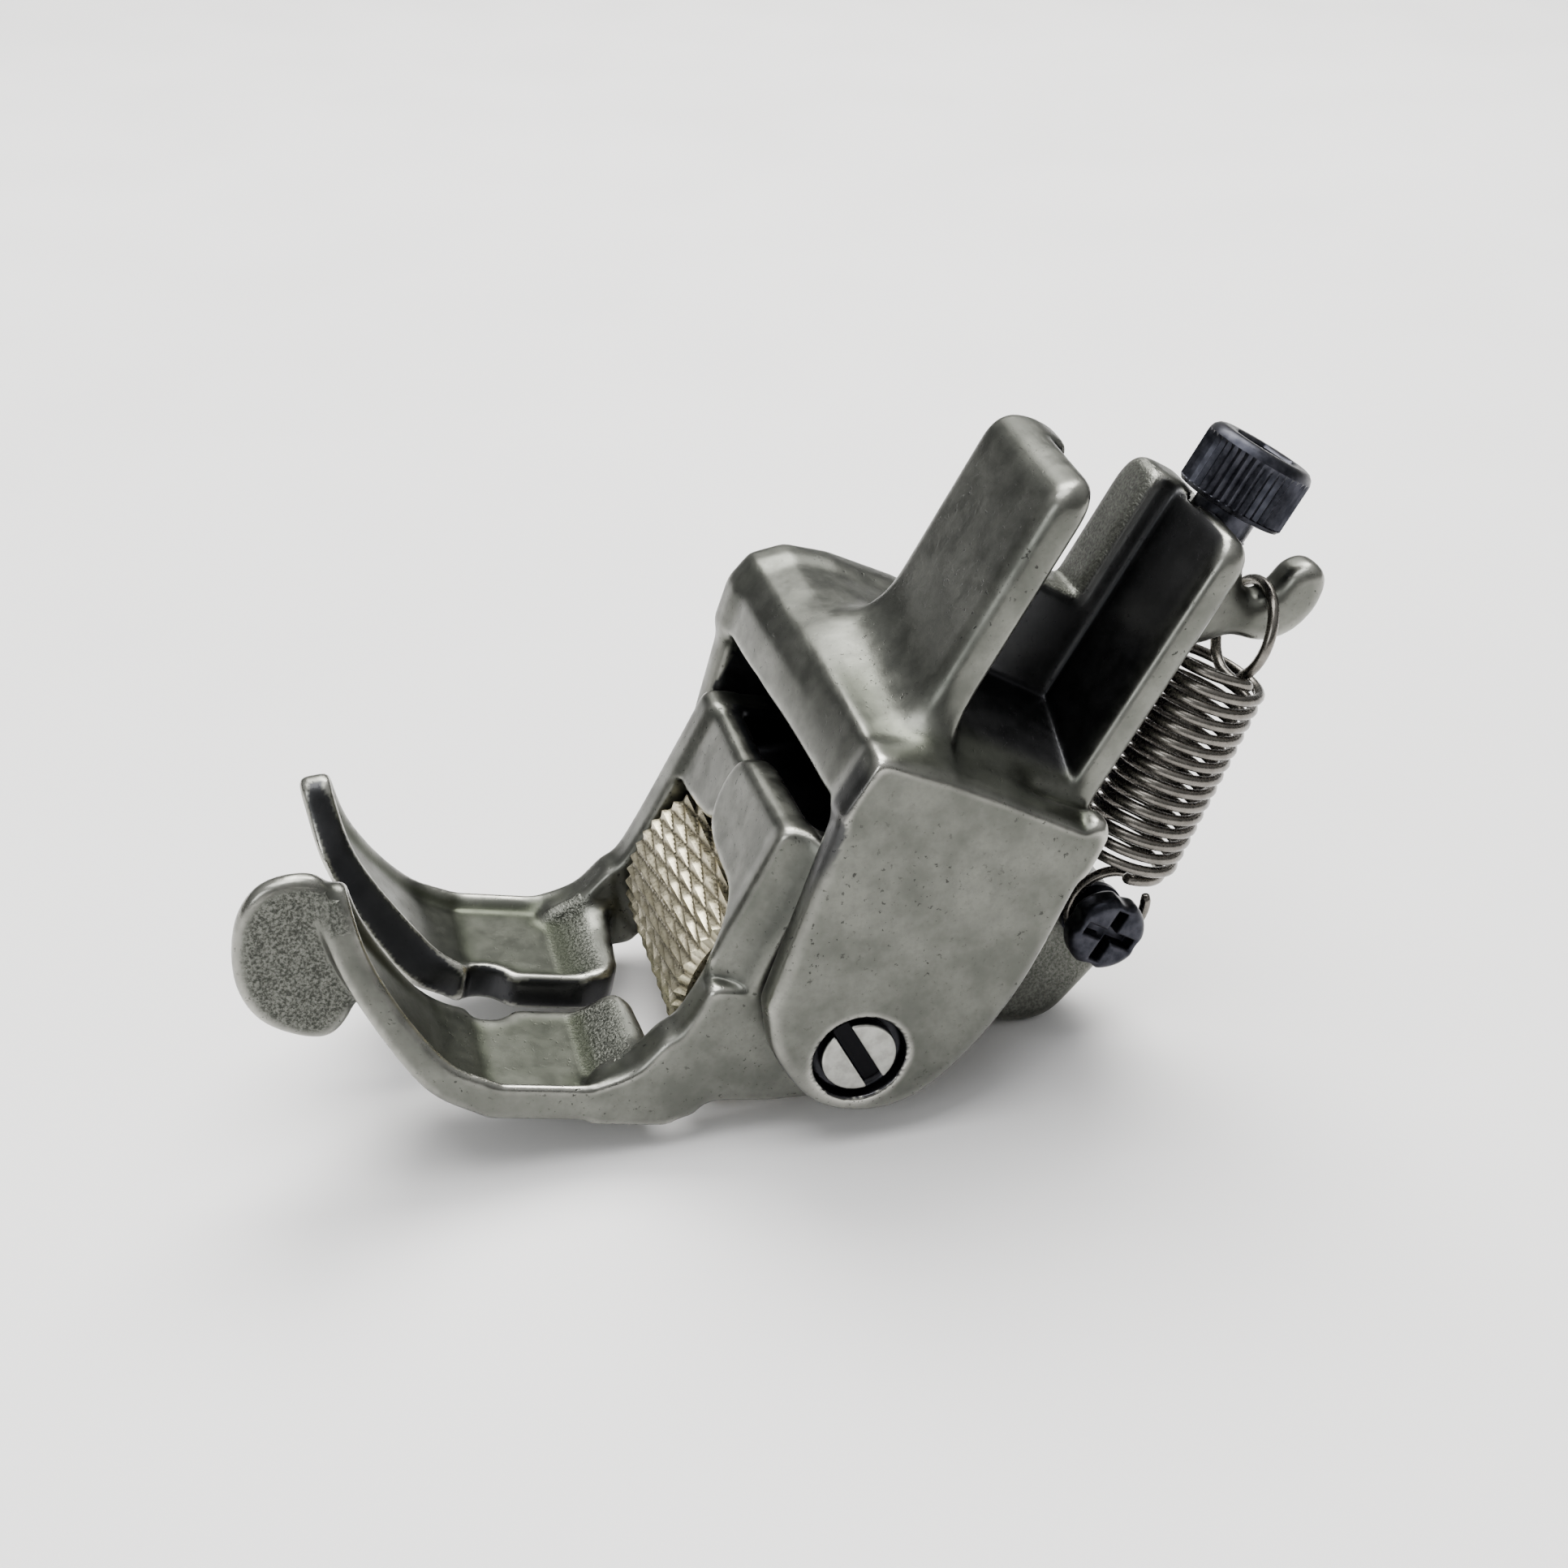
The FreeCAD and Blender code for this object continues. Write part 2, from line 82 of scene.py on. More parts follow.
CAST_STEP = 0.16                        # grid step of the two castings


def turn(points, lean):
    """Local millimetres to metres in the row frame."""
    p = np.asarray(points, float)
    a = math.radians(lean)
    y = p[:, 1] * math.cos(a) - p[:, 2] * math.sin(a)
    z = p[:, 1] * math.sin(a) + p[:, 2] * math.cos(a)
    return (np.stack([p[:, 0], y, z], 1) + HINGE) / 1000.0


def body_frame(points):
    return turn(points, BODY_LEAN)


def sole_frame(points):
    p = np.array(points, float)
    p[:, 2] -= HINGE_ABOVE_SOLE
    return turn(p, SOLE_LEAN)


# ---------------------------------------------------------------- outlines
def curve(points, closed=False, n=8):
    """Catmull-Rom curve through a few points."""
    p = np.array(points, float)
    if closed:
        p = np.vstack([p[-1], p, p[0], p[1]])
    else:
        p = np.vstack([2 * p[0] - p[1], p, 2 * p[-1] - p[-2]])
    t = np.linspace(0, 1, n, endpoint=False)[:, None]
    out = []
    for a, b, c, d in zip(p[:-3], p[1:-2], p[2:-1], p[3:]):
        cubic = 2 * b + (c - a) * t + (2 * a - 5 * b + 4 * c - d) * t ** 2
        out.append((cubic + (3 * b - a - 3 * c + d) * t ** 3) / 2)
    if not closed:
        out.append(p[-2][None])
    return np.vstack(out)


def outline(*runs):
    return np.vstack([np.atleast_2d(np.array(r, float)) for r in runs])


# ---------------------------------------------------------------- signed distance fields
class Grid:
    """Sample points of a box, as broadcastable x, y and z arrays."""

    def __init__(self, low, high, step):
        self.low = np.array(low, float)
        self.step = step
        count = np.ceil((np.array(high) - self.low) / step).astype(int) + 1
        x, y, z = (self.low[i] + step * np.arange(count[i]) for i in range(3))
        self.x = x.astype(np.float32)[:, None, None]
        self.y = y.astype(np.float32)[None, :, None]
        self.z = z.astype(np.float32)[None, None, :]


def polygon(u, v, points):
    """Signed distance in a plane to a closed polygon, negative inside."""
    u, v = np.broadcast_arrays(u, v)
    best = np.full(u.shape, 1e9, np.float32)
    inside = np.zeros(u.shape, bool)
    for (au, av), (bu, bv) in zip(points, np.roll(points, -1, axis=0)):
        du, dv = bu - au, bv - av
        length = du * du + dv * dv
        if length < 1e-12:
            continue
        t = np.clip(((u - au) * du + (v - av) * dv) / length, 0, 1)
        best = np.minimum(best, (u - au - t * du) ** 2 + (v - av - t * dv) ** 2)
        if abs(dv) > 1e-12:
            crosses = (v >= av) != (v >= bv)
            inside ^= crosses & (u < au + (v - av) / dv * du)
    distance = np.sqrt(best)
    return np.where(inside, -distance, distance).astype(np.float32)


def join(a, b, radius=0.0):
    """Where both fields overlap, with the edge between them rounded."""
    a = a + radius
    b = b + radius
    return np.minimum(np.maximum(a, b), 0) + np.hypot(np.maximum(a, 0), np.maximum(b, 0)) - radius


def smin(a, b, k):
    h = np.maximum(k - np.abs(a - b), 0) / k
    return np.minimum(a, b) - h * h * k * 0.25


def smax(a, b, k):
    return -smin(-a, -b, k)


def smooth(t):
    t = np.clip(t, 0, 1)
    return t * t * (3 - 2 * t)


def slab(g, points, x0, x1, radius=0.0):
    """(y, z) outline extruded from x0 to x1."""
    return join(polygon(g.y, g.z, points), np.abs(g.x - (x0 + x1) / 2) - (x1 - x0) / 2, radius)


def block(g, x0, x1, y0, y1, z0, z1, radius=0.0):
    dx = np.abs(g.x - (x0 + x1) / 2) - (x1 - x0) / 2
    dy = np.abs(g.y - (y0 + y1) / 2) - (y1 - y0) / 2
    dz = np.abs(g.z - (z0 + z1) / 2) - (z1 - z0) / 2
    return join(join(dx, dy, radius), dz, radius)


def rod_x(g, radius, x0, x1, y=0.0, z=0.0, edge=0.0):
    return join(np.hypot(g.y - y, g.z - z) - radius, np.abs(g.x - (x0 + x1) / 2) - (x1 - x0) / 2, edge)


def rod_z(g, radius, z0, z1, x=0.0, y=0.0, edge=0.0):
    return join(np.hypot(g.x - x, g.y - y) - radius, np.abs(g.z - (z0 + z1) / 2) - (z1 - z0) / 2, edge)


def cone_between(g, a, b, ra, rb):
    """Rod with round ends whose radius changes from ra at a to rb at b."""
    a = np.array(a, float)
    d = np.array(b, float) - a
    t = ((g.x - a[0]) * d[0] + (g.y - a[1]) * d[1] + (g.z - a[2]) * d[2]) / float(d @ d)
    t = np.clip(t, 0, 1)
    away = np.sqrt((g.x - a[0] - t * d[0]) ** 2 + (g.y - a[1] - t * d[1]) ** 2 + (g.z - a[2] - t * d[2]) ** 2)
    return away - (ra + (rb - ra) * t)


def soften(field, passes):
    """Tumbled look: blur the field, which rounds its edges and leaves its flats."""
    for _ in range(passes):
        for axis in range(3):
            n = field.shape[axis]
            before = np.take(field, np.r_[0, 0:n - 1], axis)
            after = np.take(field, np.r_[1:n, n - 1], axis)
            field = field * 0.5 + (before + after) * 0.25
    return field


# ---------------------------------------------------------------- surface nets
CORNERS = [(i, j, k) for i in (0, 1) for j in (0, 1) for k in (0, 1)]


def sample(field, p):
    """Value and gradient of the field at grid positions p, by trilinear interpolation."""
    base = np.clip(np.floor(p).astype(int), 0, np.array(field.shape) - 2)
    f = p - base
    value = np.zeros(len(p))
    slope = np.zeros((len(p), 3))
    for corner in CORNERS:
        v = field[base[:, 0] + corner[0], base[:, 1] + corner[1], base[:, 2] + corner[2]].astype(float)
        w = [f[:, i] if corner[i] else 1 - f[:, i] for i in range(3)]
        sign = [1.0 if c else -1.0 for c in corner]
        value += v * w[0] * w[1] * w[2]
        slope[:, 0] += v * sign[0] * w[1] * w[2]
        slope[:, 1] += v * sign[1] * w[0] * w[2]
        slope[:, 2] += v * sign[2] * w[0] * w[1]
    return value, slope


def surface_net(field, grid):
    """Quad mesh of the zero surface: local points, faces and outward normals."""
    inside = field < 0
    cell_shape = tuple(n - 1 for n in field.shape)
    total = np.zeros(cell_shape, np.int8)
    for i, j, k in CORNERS:
        total += inside[i:i + cell_shape[0], j:j + cell_shape[1], k:k + cell_shape[2]]
    active = (total > 0) & (total < 8)
    cells = np.argwhere(active)
    number = np.full(cell_shape, -1, np.int32)
    number[active] = np.arange(len(cells))
    corner_value = {}
    for corner in CORNERS:
        at = cells + np.array(corner)
        corner_value[corner] = field[at[:, 0], at[:, 1], at[:, 2]].astype(float)
    spot = np.zeros((len(cells), 3))
    crossings = np.zeros(len(cells))
    for a in CORNERS:
        for axis in range(3):
            if a[axis]:
                continue
            b = tuple(1 if i == axis else a[i] for i in range(3))
            va, vb = corner_value[a], corner_value[b]
            crossed = (va < 0) != (vb < 0)
            t = np.where(crossed, va / np.where(crossed, va - vb, 1), 0)
            place = np.array(a, float)[None] + t[:, None] * np.eye(3)[axis]
            spot += np.where(crossed[:, None], place, 0)
            crossings += crossed
    p = cells + spot / crossings[:, None]
    faces = []
    for axis in range(3):
        u, v = (axis + 1) % 3, (axis + 2) % 3
        low = [slice(None)] * 3
        high = [slice(None)] * 3
        low[axis] = slice(0, -1)
        high[axis] = slice(1, None)
        start = inside[tuple(low)]
        end = inside[tuple(high)]
        edges = np.argwhere(start != end)
        keep = np.ones(len(edges), bool)
        for other in (u, v):
            keep &= (edges[:, other] > 0) & (edges[:, other] < field.shape[other] - 1)
        edges = edges[keep]
        ring = []
        for du, dv in ((1, 1), (0, 1), (0, 0), (1, 0)):
            cell = edges.copy()
            cell[:, u] -= du
            cell[:, v] -= dv
            ring.append(number[cell[:, 0], cell[:, 1], cell[:, 2]])
        quad = np.stack(ring, 1)
        outward = start[edges[:, 0], edges[:, 1], edges[:, 2]]
        quad[~outward] = quad[~outward][:, ::-1]
        faces.append(quad)
    faces = np.vstack(faces)
    for _ in range(3):
        value, slope = sample(field, p)
        size = np.maximum((slope ** 2).sum(1), 1e-6)
        move = slope * (value / size)[:, None]
        length = np.sqrt((move ** 2).sum(1))
        p -= move * np.minimum(1, 0.5 / np.maximum(length, 1e-9))[:, None]
    _, slope = sample(field, p)
    normal = slope / np.maximum(np.sqrt((slope ** 2).sum(1)), 1e-9)[:, None]
    return grid.low + p * grid.step, faces, normal


def relief(points, faces, normals, rounds):
    """How far each vertex stands proud of its surroundings: above 0 on edges, below 0 in corners."""
    a = np.concatenate([faces[:, i] for i in range(4)])
    b = np.concatenate([faces[:, (i + 1) % 4] for i in range(4)])
    start = np.concatenate([a, b])
    end = np.concatenate([b, a])
    degree = np.maximum(np.bincount(start, minlength=len(points)), 1)
    flat = points.copy()
    for _ in range(rounds):
        around = np.stack([np.bincount(start, flat[end, i], len(points)) for i in range(3)], 1)
        flat = flat * 0.4 + around / degree[:, None] * 0.6
    proud = ((points - flat) * normals).sum(1)
    for _ in range(2):
        proud = proud * 0.5 + np.bincount(start, proud[end], len(points)) / degree * 0.5
    return proud


# ---------------------------------------------------------------- meshes
def mesh_object(name, points, faces, values=None, smooth_angle=None):
    mesh = bpy.data.meshes.new(name)
    faces = [tuple(int(i) for i in f) for f in faces]
    mesh.from_pydata([tuple(p) for p in np.asarray(points, float)], [], faces)
    mesh.update()
    for key, value in (values or {}).items():
        attribute = mesh.attributes.new(key, "FLOAT", "POINT")
        attribute.data.foreach_set("value", np.asarray(value, np.float32))
    mesh.shade_smooth()
    if smooth_angle is not None:
        mesh.set_sharp_from_angle(angle=math.radians(smooth_angle))
    piece = bpy.data.objects.new(name, mesh)
    bpy.context.scene.collection.objects.link(piece)
    return piece


def tube_faces(rows, columns, wrap_rows=False):
    """Quads of a grid whose columns close on themselves."""
    last = rows if wrap_rows else rows - 1
    i = np.arange(last)[:, None] * columns
    nxt = (np.arange(last)[:, None] + 1) % rows * columns
    c = np.arange(columns)[None]
    d = (c + 1) % columns
    return np.stack([i + c, i + d, nxt + d, nxt + c], 2).reshape(-1, 4)


def lathe(profile, columns, shape=None):
    """Turn (radius, height) rows about the z axis. shape may change the radius by row and angle."""
    profile = np.array(profile, float)
    angle = np.arange(columns) * 2 * math.pi / columns
    radius = np.repeat(profile[:, :1], columns, 1)
    height = np.repeat(profile[:, 1:2], columns, 1)
    if shape is not None:
        radius = shape(radius, angle[None], height)
    points = np.stack([radius * np.cos(angle), radius * np.sin(angle), height], 2).reshape(-1, 3)
    faces = [tuple(f) for f in tube_faces(len(profile), columns)]
    faces.append(tuple(range(columns))[::-1])
    faces.append(tuple(range((len(profile) - 1) * columns, len(profile) * columns)))
    return points, faces


def sweep(path, radius, columns):
    """Round wire along a path, with frames carried along so that it never twists."""
    path = np.array(path, float)
    tangent = np.gradient(path, axis=0)
    tangent /= np.linalg.norm(tangent, axis=1)[:, None]
    side = np.cross(tangent[0], [0.3, 0.1, 1.0])
    side /= np.linalg.norm(side)
    angle = np.arange(columns) * 2 * math.pi / columns
    rows = []
    for i, (p, t) in enumerate(zip(path, tangent)):
        side = side - t * (side @ t)
        side /= np.linalg.norm(side)
        other = np.cross(t, side)
        taper = 0.75 if i in (0, len(path) - 1) else 1.0
        rows.append(p + radius * taper * (np.cos(angle)[:, None] * side + np.sin(angle)[:, None] * other))
    points = np.vstack(rows)
    faces = [tuple(f) for f in tube_faces(len(path), columns)]
    faces.append(tuple(range(columns))[::-1])
    faces.append(tuple(range((len(path) - 1) * columns, len(path) * columns)))
    return points, faces


# ---------------------------------------------------------------- materials
class Nodes:
    """Small helper that adds shader nodes and links them."""

    def __init__(self, name):
        self.material = bpy.data.materials.new(name)
        self.material.use_nodes = True
        self.tree = self.material.node_tree
        self.shader = self.tree.nodes["Principled BSDF"]
        coords = self.tree.nodes.new("ShaderNodeTexCoord")
        self.place = coords.outputs["Object"]

    def add(self, kind, **settings):
        node = self.tree.nodes.new(kind)
        for key, value in settings.items():
            setattr(node, key, value)
        return node

    def put(self, socket, value):
        if isinstance(value, bpy.types.NodeSocket):
            self.tree.links.new(value, socket)
        else:
            socket.default_value = value

    def noise(self, scale, detail=3.0, rough=0.5, stretch=None):
        """Noise with its scale given in features per millimetre."""
        node = self.add("ShaderNodeTexNoise")
        place = self.place
        if stretch is not None:
            mapping = self.add("ShaderNodeMapping")
            mapping.inputs["Scale"].default_value = stretch
            self.put(mapping.inputs["Vector"], self.place)
            place = mapping.outputs["Vector"]
        self.put(node.inputs["Vector"], place)
        node.inputs["Scale"].default_value = scale * 1000.0
        node.inputs["Detail"].default_value = detail
        node.inputs["Roughness"].default_value = rough
        return node.outputs["Fac"]

    def ramp(self, value, low, high, out_low=0.0, out_high=1.0):
        node = self.add("ShaderNodeMapRange", interpolation_type="SMOOTHSTEP")
        self.put(node.inputs["Value"], value)
        limits = {"From Min": low, "From Max": high, "To Min": out_low, "To Max": out_high}
        for socket, number in limits.items():
            node.inputs[socket].default_value = number
        return node.outputs["Result"]

    def math(self, operation, a, b=0.0):
        node = self.add("ShaderNodeMath", operation=operation)
        self.put(node.inputs[0], a)
        self.put(node.inputs[1], b)
        return node.outputs[0]

    def mix(self, factor, a, b, blend="MIX"):
        node = self.add("ShaderNodeMix", data_type="RGBA", blend_type=blend)
        self.put(node.inputs["Factor"], factor)
        for socket, value in ((node.inputs[6], a), (node.inputs[7], b)):
            if not isinstance(value, bpy.types.NodeSocket):
                value = (*value, 1.0)
            self.put(socket, value)
        return node.outputs[2]

    def attribute(self, name):
        node = self.add("ShaderNodeAttribute", attribute_name=name)
        return node.outputs["Fac"]

    def bump(self, height, strength, distance_mm, under=None):
        node = self.add("ShaderNodeBump")
        node.inputs["Strength"].default_value = strength
        node.inputs["Distance"].default_value = distance_mm / 1000.0
        self.put(node.inputs["Height"], height)
        if under is not None:
            self.put(node.inputs["Normal"], under)
        return node.outputs["Normal"]

    def finish(self, colour, roughness, normal=None, metallic=1.0):
        self.put(self.shader.inputs["Base Color"], colour)
        self.put(self.shader.inputs["Roughness"], roughness)
        self.shader.inputs["Metallic"].default_value = metallic
        if normal is not None:
            self.put(self.shader.inputs["Normal"], normal)
        return self.material


def cast_metal(name):
    """Gunmetal casting: dark pits, polished edges, painted shade in the corners and raw cast patches.

    Mesh attributes: proud (edges above 0, corners below), raw (gritty), sheen (dark green
    reflection) and shade (black inside).
    """
    n = Nodes(name)
    cloud = n.ramp(n.noise(0.35, 4.0, 0.6), 0.3, 0.7)
    body = n.mix(cloud, (0.092, 0.096, 0.084), (0.150, 0.154, 0.136))
    mottle = n.ramp(n.noise(2.6, 3.0, 0.65), 0.42, 0.72)
    body = n.mix(n.math("MULTIPLY", mottle, 0.45), body, (0.10, 0.10, 0.09))
    wear = n.ramp(n.attribute("proud"), 0.02, 0.13)
    wear = n.math("MULTIPLY", wear, n.ramp(n.noise(1.2, 3.0, 0.6), 0.25, 0.6, 0.55, 1.0))
    body = n.mix(wear, body, (0.50, 0.495, 0.45))
    # Painted shade: corners and creases (proud below 0) are darkened toward black.
    painted_hollow_shade = n.ramp(n.attribute("proud"), -0.015, -0.16)
    body = n.mix(n.math("MULTIPLY", painted_hollow_shade, 0.75), body, (0.04, 0.04, 0.036))
    pit_zone = n.ramp(n.noise(0.22, 2.0, 0.5), 0.38, 0.62, 0.25, 1.0)
    pit = n.math("MULTIPLY", n.ramp(n.noise(3.4, 2.0, 0.7), 0.63, 0.70), pit_zone)
    body = n.mix(n.math("MULTIPLY", pit, 0.85), body, (0.03, 0.03, 0.028))
    raw = n.attribute("raw")
    grit = n.noise(6.5, 3.0, 0.65)
    raw_colour = n.mix(n.ramp(grit, 0.36, 0.66), (0.035, 0.037, 0.032), (0.185, 0.19, 0.168))
    body = n.mix(raw, body, raw_colour)
    body = n.mix(n.attribute("sheen"), body, (0.036, 0.041, 0.028))
    dark = n.attribute("shade")
    body = n.mix(dark, body, (0.03, 0.03, 0.035))
    rough = n.ramp(n.noise(0.8, 4.0, 0.6), 0.3, 0.7, 0.30, 0.42)
    rough = n.math("SUBTRACT", rough, n.math("MULTIPLY", wear, 0.16))
    rough = n.math("ADD", rough, n.math("MULTIPLY", raw, 0.18))
    grain = n.noise(11.0, 2.0, 0.6)
    normal = n.bump(grain, 0.10, 0.02)
    pits = n.math("SUBTRACT", 1.0, pit)
    normal = n.bump(pits, 0.35, 0.03, normal)
    lumps = n.math("MULTIPLY", grit, raw)
    normal = n.bump(lumps, 0.8, 0.16, normal)
    return n.finish(body, rough, normal)


def plain_metal(name, low, high, rough_low, rough_high, scale=1.5, stretch=None, bump=0.08, dark=None):
    """Turned or ground metal: soft variation in colour and gloss, with fine tool marks.

    dark names a mesh attribute that is 1 where the surface is shadowed black.
    """
    n = Nodes(name)
    cloud = n.ramp(n.noise(scale, 4.0, 0.6), 0.3, 0.7)
    colour = n.mix(cloud, low, high)
    if dark is not None:
        colour = n.mix(n.attribute(dark), colour, (0.008, 0.008, 0.009))
    marks = n.noise(6.0, 3.0, 0.6, stretch)
    rough = n.ramp(marks, 0.3, 0.7, rough_low, rough_high)
    return n.finish(colour, rough, n.bump(marks, bump, 0.02))


CAST = cast_metal("cast_gunmetal")
BLACK = plain_metal("black_oxide", (0.020, 0.021, 0.027), (0.050, 0.051, 0.062), 0.32, 0.46)
WIRE = plain_metal("spring_wire", (0.12, 0.112, 0.10), (0.19, 0.178, 0.16), 0.22, 0.32, 1.2)
# The screw face is painted black as shade in its slot and round the side of its head.
BRIGHT = plain_metal("screw_face", (0.30, 0.30, 0.275), (0.44, 0.44, 0.41), 0.30, 0.44,
                     scale=1.5, stretch=(1.0, 0.12, 1.0), bump=0.25, dark="painted_hollow_shade")
BRONZE = plain_metal("bush_bronze", (0.34, 0.24, 0.12), (0.50, 0.38, 0.20), 0.34, 0.50)


def roller_metal():
    n = Nodes("roller_knurl")
    cloud = n.ramp(n.noise(0.9, 4.0, 0.6), 0.3, 0.7)
    colour = n.mix(cloud, (0.40, 0.365, 0.25), (0.58, 0.53, 0.39))
    # Painted shade: the bottoms of the knurl grooves are darkened.
    groove = n.ramp(n.attribute("height"), 0.02, 0.55, 1.0, 0.0)
    colour = n.mix(n.math("MULTIPLY", groove, 0.8), colour, (0.12, 0.105, 0.07))
    streak = n.noise(5.0, 3.0, 0.6)
    rough = n.ramp(streak, 0.3, 0.7, 0.24, 0.40)
    return n.finish(colour, rough, n.bump(streak, 0.2, 0.02))


KNURL = roller_metal()


def dress(piece, material, body, slot_name, *nodes):
    piece.data.materials.clear()
    piece.data.materials.append(material)
    if body is not None:
        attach(piece, body)
    if nodes:
        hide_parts(*nodes)
    return piece


# ---------------------------------------------------------------- shank casting (body frame)
g = Grid((-12.1, -10.4, -4.1), (12.1, 13.0, 32.2), CAST_STEP)
lobe = curve([(-5.92, 0.64), (-4.0, -1.65), (-0.42, -3.35), (3.1, -2.3), (5.05, 0.77), (5.90, 6.2),
              (5.30, 13.44)])
near_outline = outline(lobe, (4.9, 16.35), (-0.52, 15.85), (-7.0, 14.95), (-7.70, 14.75), (-7.96, 11.47))
far_top = [(-0.80, 17.35), (-5.0, 17.0), (-7.4, 16.4), (-8.8, 15.2), (-9.15, 13.6), (-8.7, 11.3)]
far_outline = outline(lobe, (4.53, 16.90), far_top)
near_roof = outline((-7.00, 11.47), (-7.96, 11.47), (-7.82, 14.70), (-6.6, 14.55), (-4.6, 14.20),
                    (-2.0, 14.45), (1.0, 15.1), (5.2, 15.7), (5.30, 13.44), (-6.3, 13.2))
far_roof = outline((-7.9, 11.4), far_top[::-1], (4.7, 16.9), (5.3, 13.44), (-7.2, 13.2))

CHEEK_EDGE, WALL_EDGE, SMALL_FILLET = 0.62, 0.95, 0.18
across = smooth((9.5 - g.x) / 17.0)
roof = polygon(g.y, g.z, near_roof) * (1 - across) + polygon(g.y, g.z, far_roof) * across
roof = join(roof, np.abs(g.x) - BODY_HALF, 0.5)
near_cheek = slab(g, near_outline, CHEEK_IN, BODY_HALF, CHEEK_EDGE)
far_cheek = slab(g, far_outline, -BODY_HALF, -CHEEK_IN, CHEEK_EDGE)
casting = smin(smin(roof, near_cheek, 0.9), far_cheek, 1.2)

column = block(g, SHANK_X0, SHANK_X1, FRONT_Y0, BACK_Y1, 12.5, 33.0, WALL_EDGE)
FRONT_WALL_TOP, BACK_WALL_RISE = 30.35, 0.95
wall_top = FRONT_WALL_TOP - 0.05 * (g.x - SHANK_X0) + BACK_WALL_RISE * smooth((g.y + 1.0) / 3.0)
wall_top = wall_top - 0.22 * np.maximum(-3.9 - g.y, 0)
column = smax(column, (g.z - wall_top) * 0.98, 1.7)
FRONT_FILLET, BACK_FILLET = 4.2, 0.7
foot_fillet = FRONT_FILLET - (FRONT_FILLET - BACK_FILLET) * smooth((g.y + 1.0) / 4.0)
casting = smin(casting, column, foot_fillet)

boss = rod_z(g, 2.45, 25.2, 29.3, STOP_X, STOP_Y, 0.5)
boss_foot = cone_between(g, (STOP_X, 4.6, 23.0), (STOP_X, STOP_Y - 0.1, 26.8), 0.7, 2.3)
casting = smin(casting, smin(boss, boss_foot, 1.0), 1.0)
hook_points = [(5.2, 23.6), (8.5, 25.8), (10.6, 26.35), (11.9, 27.5), (12.35, 29.2), (11.9, 30.75),
               (10.8, 31.1), (9.95, 30.3), (9.7, 29.1), (8.9, 28.15), (7.4, 28.0), (5.2, 28.4)]
hook = slab(g, curve(hook_points, closed=True), 3.35, 5.65, 0.75)
casting = smin(casting, hook, 1.3)

channel_floor = 18.2 - (g.x - WEB_X) * 0.27
channel = np.maximum(WEB_X - g.x, channel_floor - g.z)
channel = np.maximum(channel, np.maximum(FRONT_Y1 - g.y, g.y - BACK_Y0))
casting = smax(casting, -channel, 0.7)
notch = np.maximum(np.maximum(np.abs(g.y) - NOTCH_HALF, NOTCH_Z - g.z), np.abs(g.x) - 2.4)
casting = smax(casting, -notch, 0.8)
under = np.maximum(g.z - 13.0, np.maximum(np.abs(g.x) - CHEEK_IN + 0.05, -7.2 - g.y))
casting = np.maximum(casting, -np.maximum(under, 11.0 - g.z))
casting = soften(casting, 3)
casting = np.maximum(casting, -rod_z(g, 1.83, PIN_TOP, 34.0, STOP_X, STOP_Y))
casting = np.maximum(casting, -rod_z(g, 0.95, 9.0, 34.0, STOP_X, STOP_Y))
casting = np.maximum(casting, np.abs(g.x) - BODY_HALF)
for side in (-1, 1):
    seat_x = side * (BODY_HALF - COUNTERBORE_DEPTH)
    rim_x = side * (BODY_HALF + 1.0)
    pocket = rod_x(g, COUNTERBORE_R, min(seat_x, rim_x), max(seat_x, rim_x))
    bore = rod_x(g, 1.42, min(side * 8.0, rim_x), max(side * 8.0, rim_x))
    casting = smax(casting, -np.minimum(pocket, bore), SMALL_FILLET)

points, faces, normals = surface_net(casting, g)
proud = relief(points, faces, normals, 14)
x, y, z = points.T
faces_notch = (np.abs(normals[:, 1]) > 0.6) | (normals[:, 2] > 0.5)
in_notch = (np.abs(y) < 2.75) & (z > 22.8) & (x < 2.2) & (x > -2.2) & faces_notch
in_channel = (x > 1.5) & (x < 8.1) & (y > -3.7) & (y < 4.0) & (z > 15.6)
inside = (np.abs(x) < CHEEK_IN + 0.15) & (z < 13.7) & (y > -7.6)
under_corner = smooth((x - 9.6) / 0.7) * smooth((-6.9 - y) / 0.5) * smooth((14.5 - z) / 1.0)
under_corner = under_corner * (normals[:, 1] < -0.4)
from_face = BODY_HALF - np.abs(x)
in_pocket = (np.hypot(y, z) < 2.48) & (from_face > 0.06) & (from_face < 1.2)
shade = 0.85 * in_channel * smooth((x - 1.0) / 0.8) * smooth((8.4 - x) / 1.6)
shade = np.maximum(shade, 0.9 * inside)
shade = np.maximum(shade, 0.75 * under_corner)
shade = np.maximum(shade, 0.95 * in_pocket)
on_deck = (z > 14.0) * (z < 19.5) * smooth((x - 1.0) / 3.0)
sheen = 0.6 * on_deck * smooth((normals[:, 2] - 0.45) / 0.4) * smooth((0.05 - proud) / 0.05)
shank = mesh_object("shank_casting", body_frame(points), faces,
                    {"proud": proud, "raw": 0.45 * in_notch, "shade": shade, "sheen": sheen})
dress(shank, CAST, "shank", "cast_steel", "shank_body", "hook_post")

# ---------------------------------------------------------------- sole casting (sole frame)
g = Grid((-9.75, -30.9, -0.35), (9.75, 17.4, 17.5), CAST_STEP)
TOE_START = -17.6
toe_curve = curve([(TOE_START, 0.0), (-20.99, 1.62), (-24.93, 6.09), (-26.75, 9.8), (-27.33, 12.1)], n=10)
under_line = outline((-4.0, -6.0), (-4.0, 0.0), toe_curve, (-27.4, 18.0), (-40.0, 18.0), (-40.0, -6.0))
over_toe = polygon(g.y, g.z, under_line)


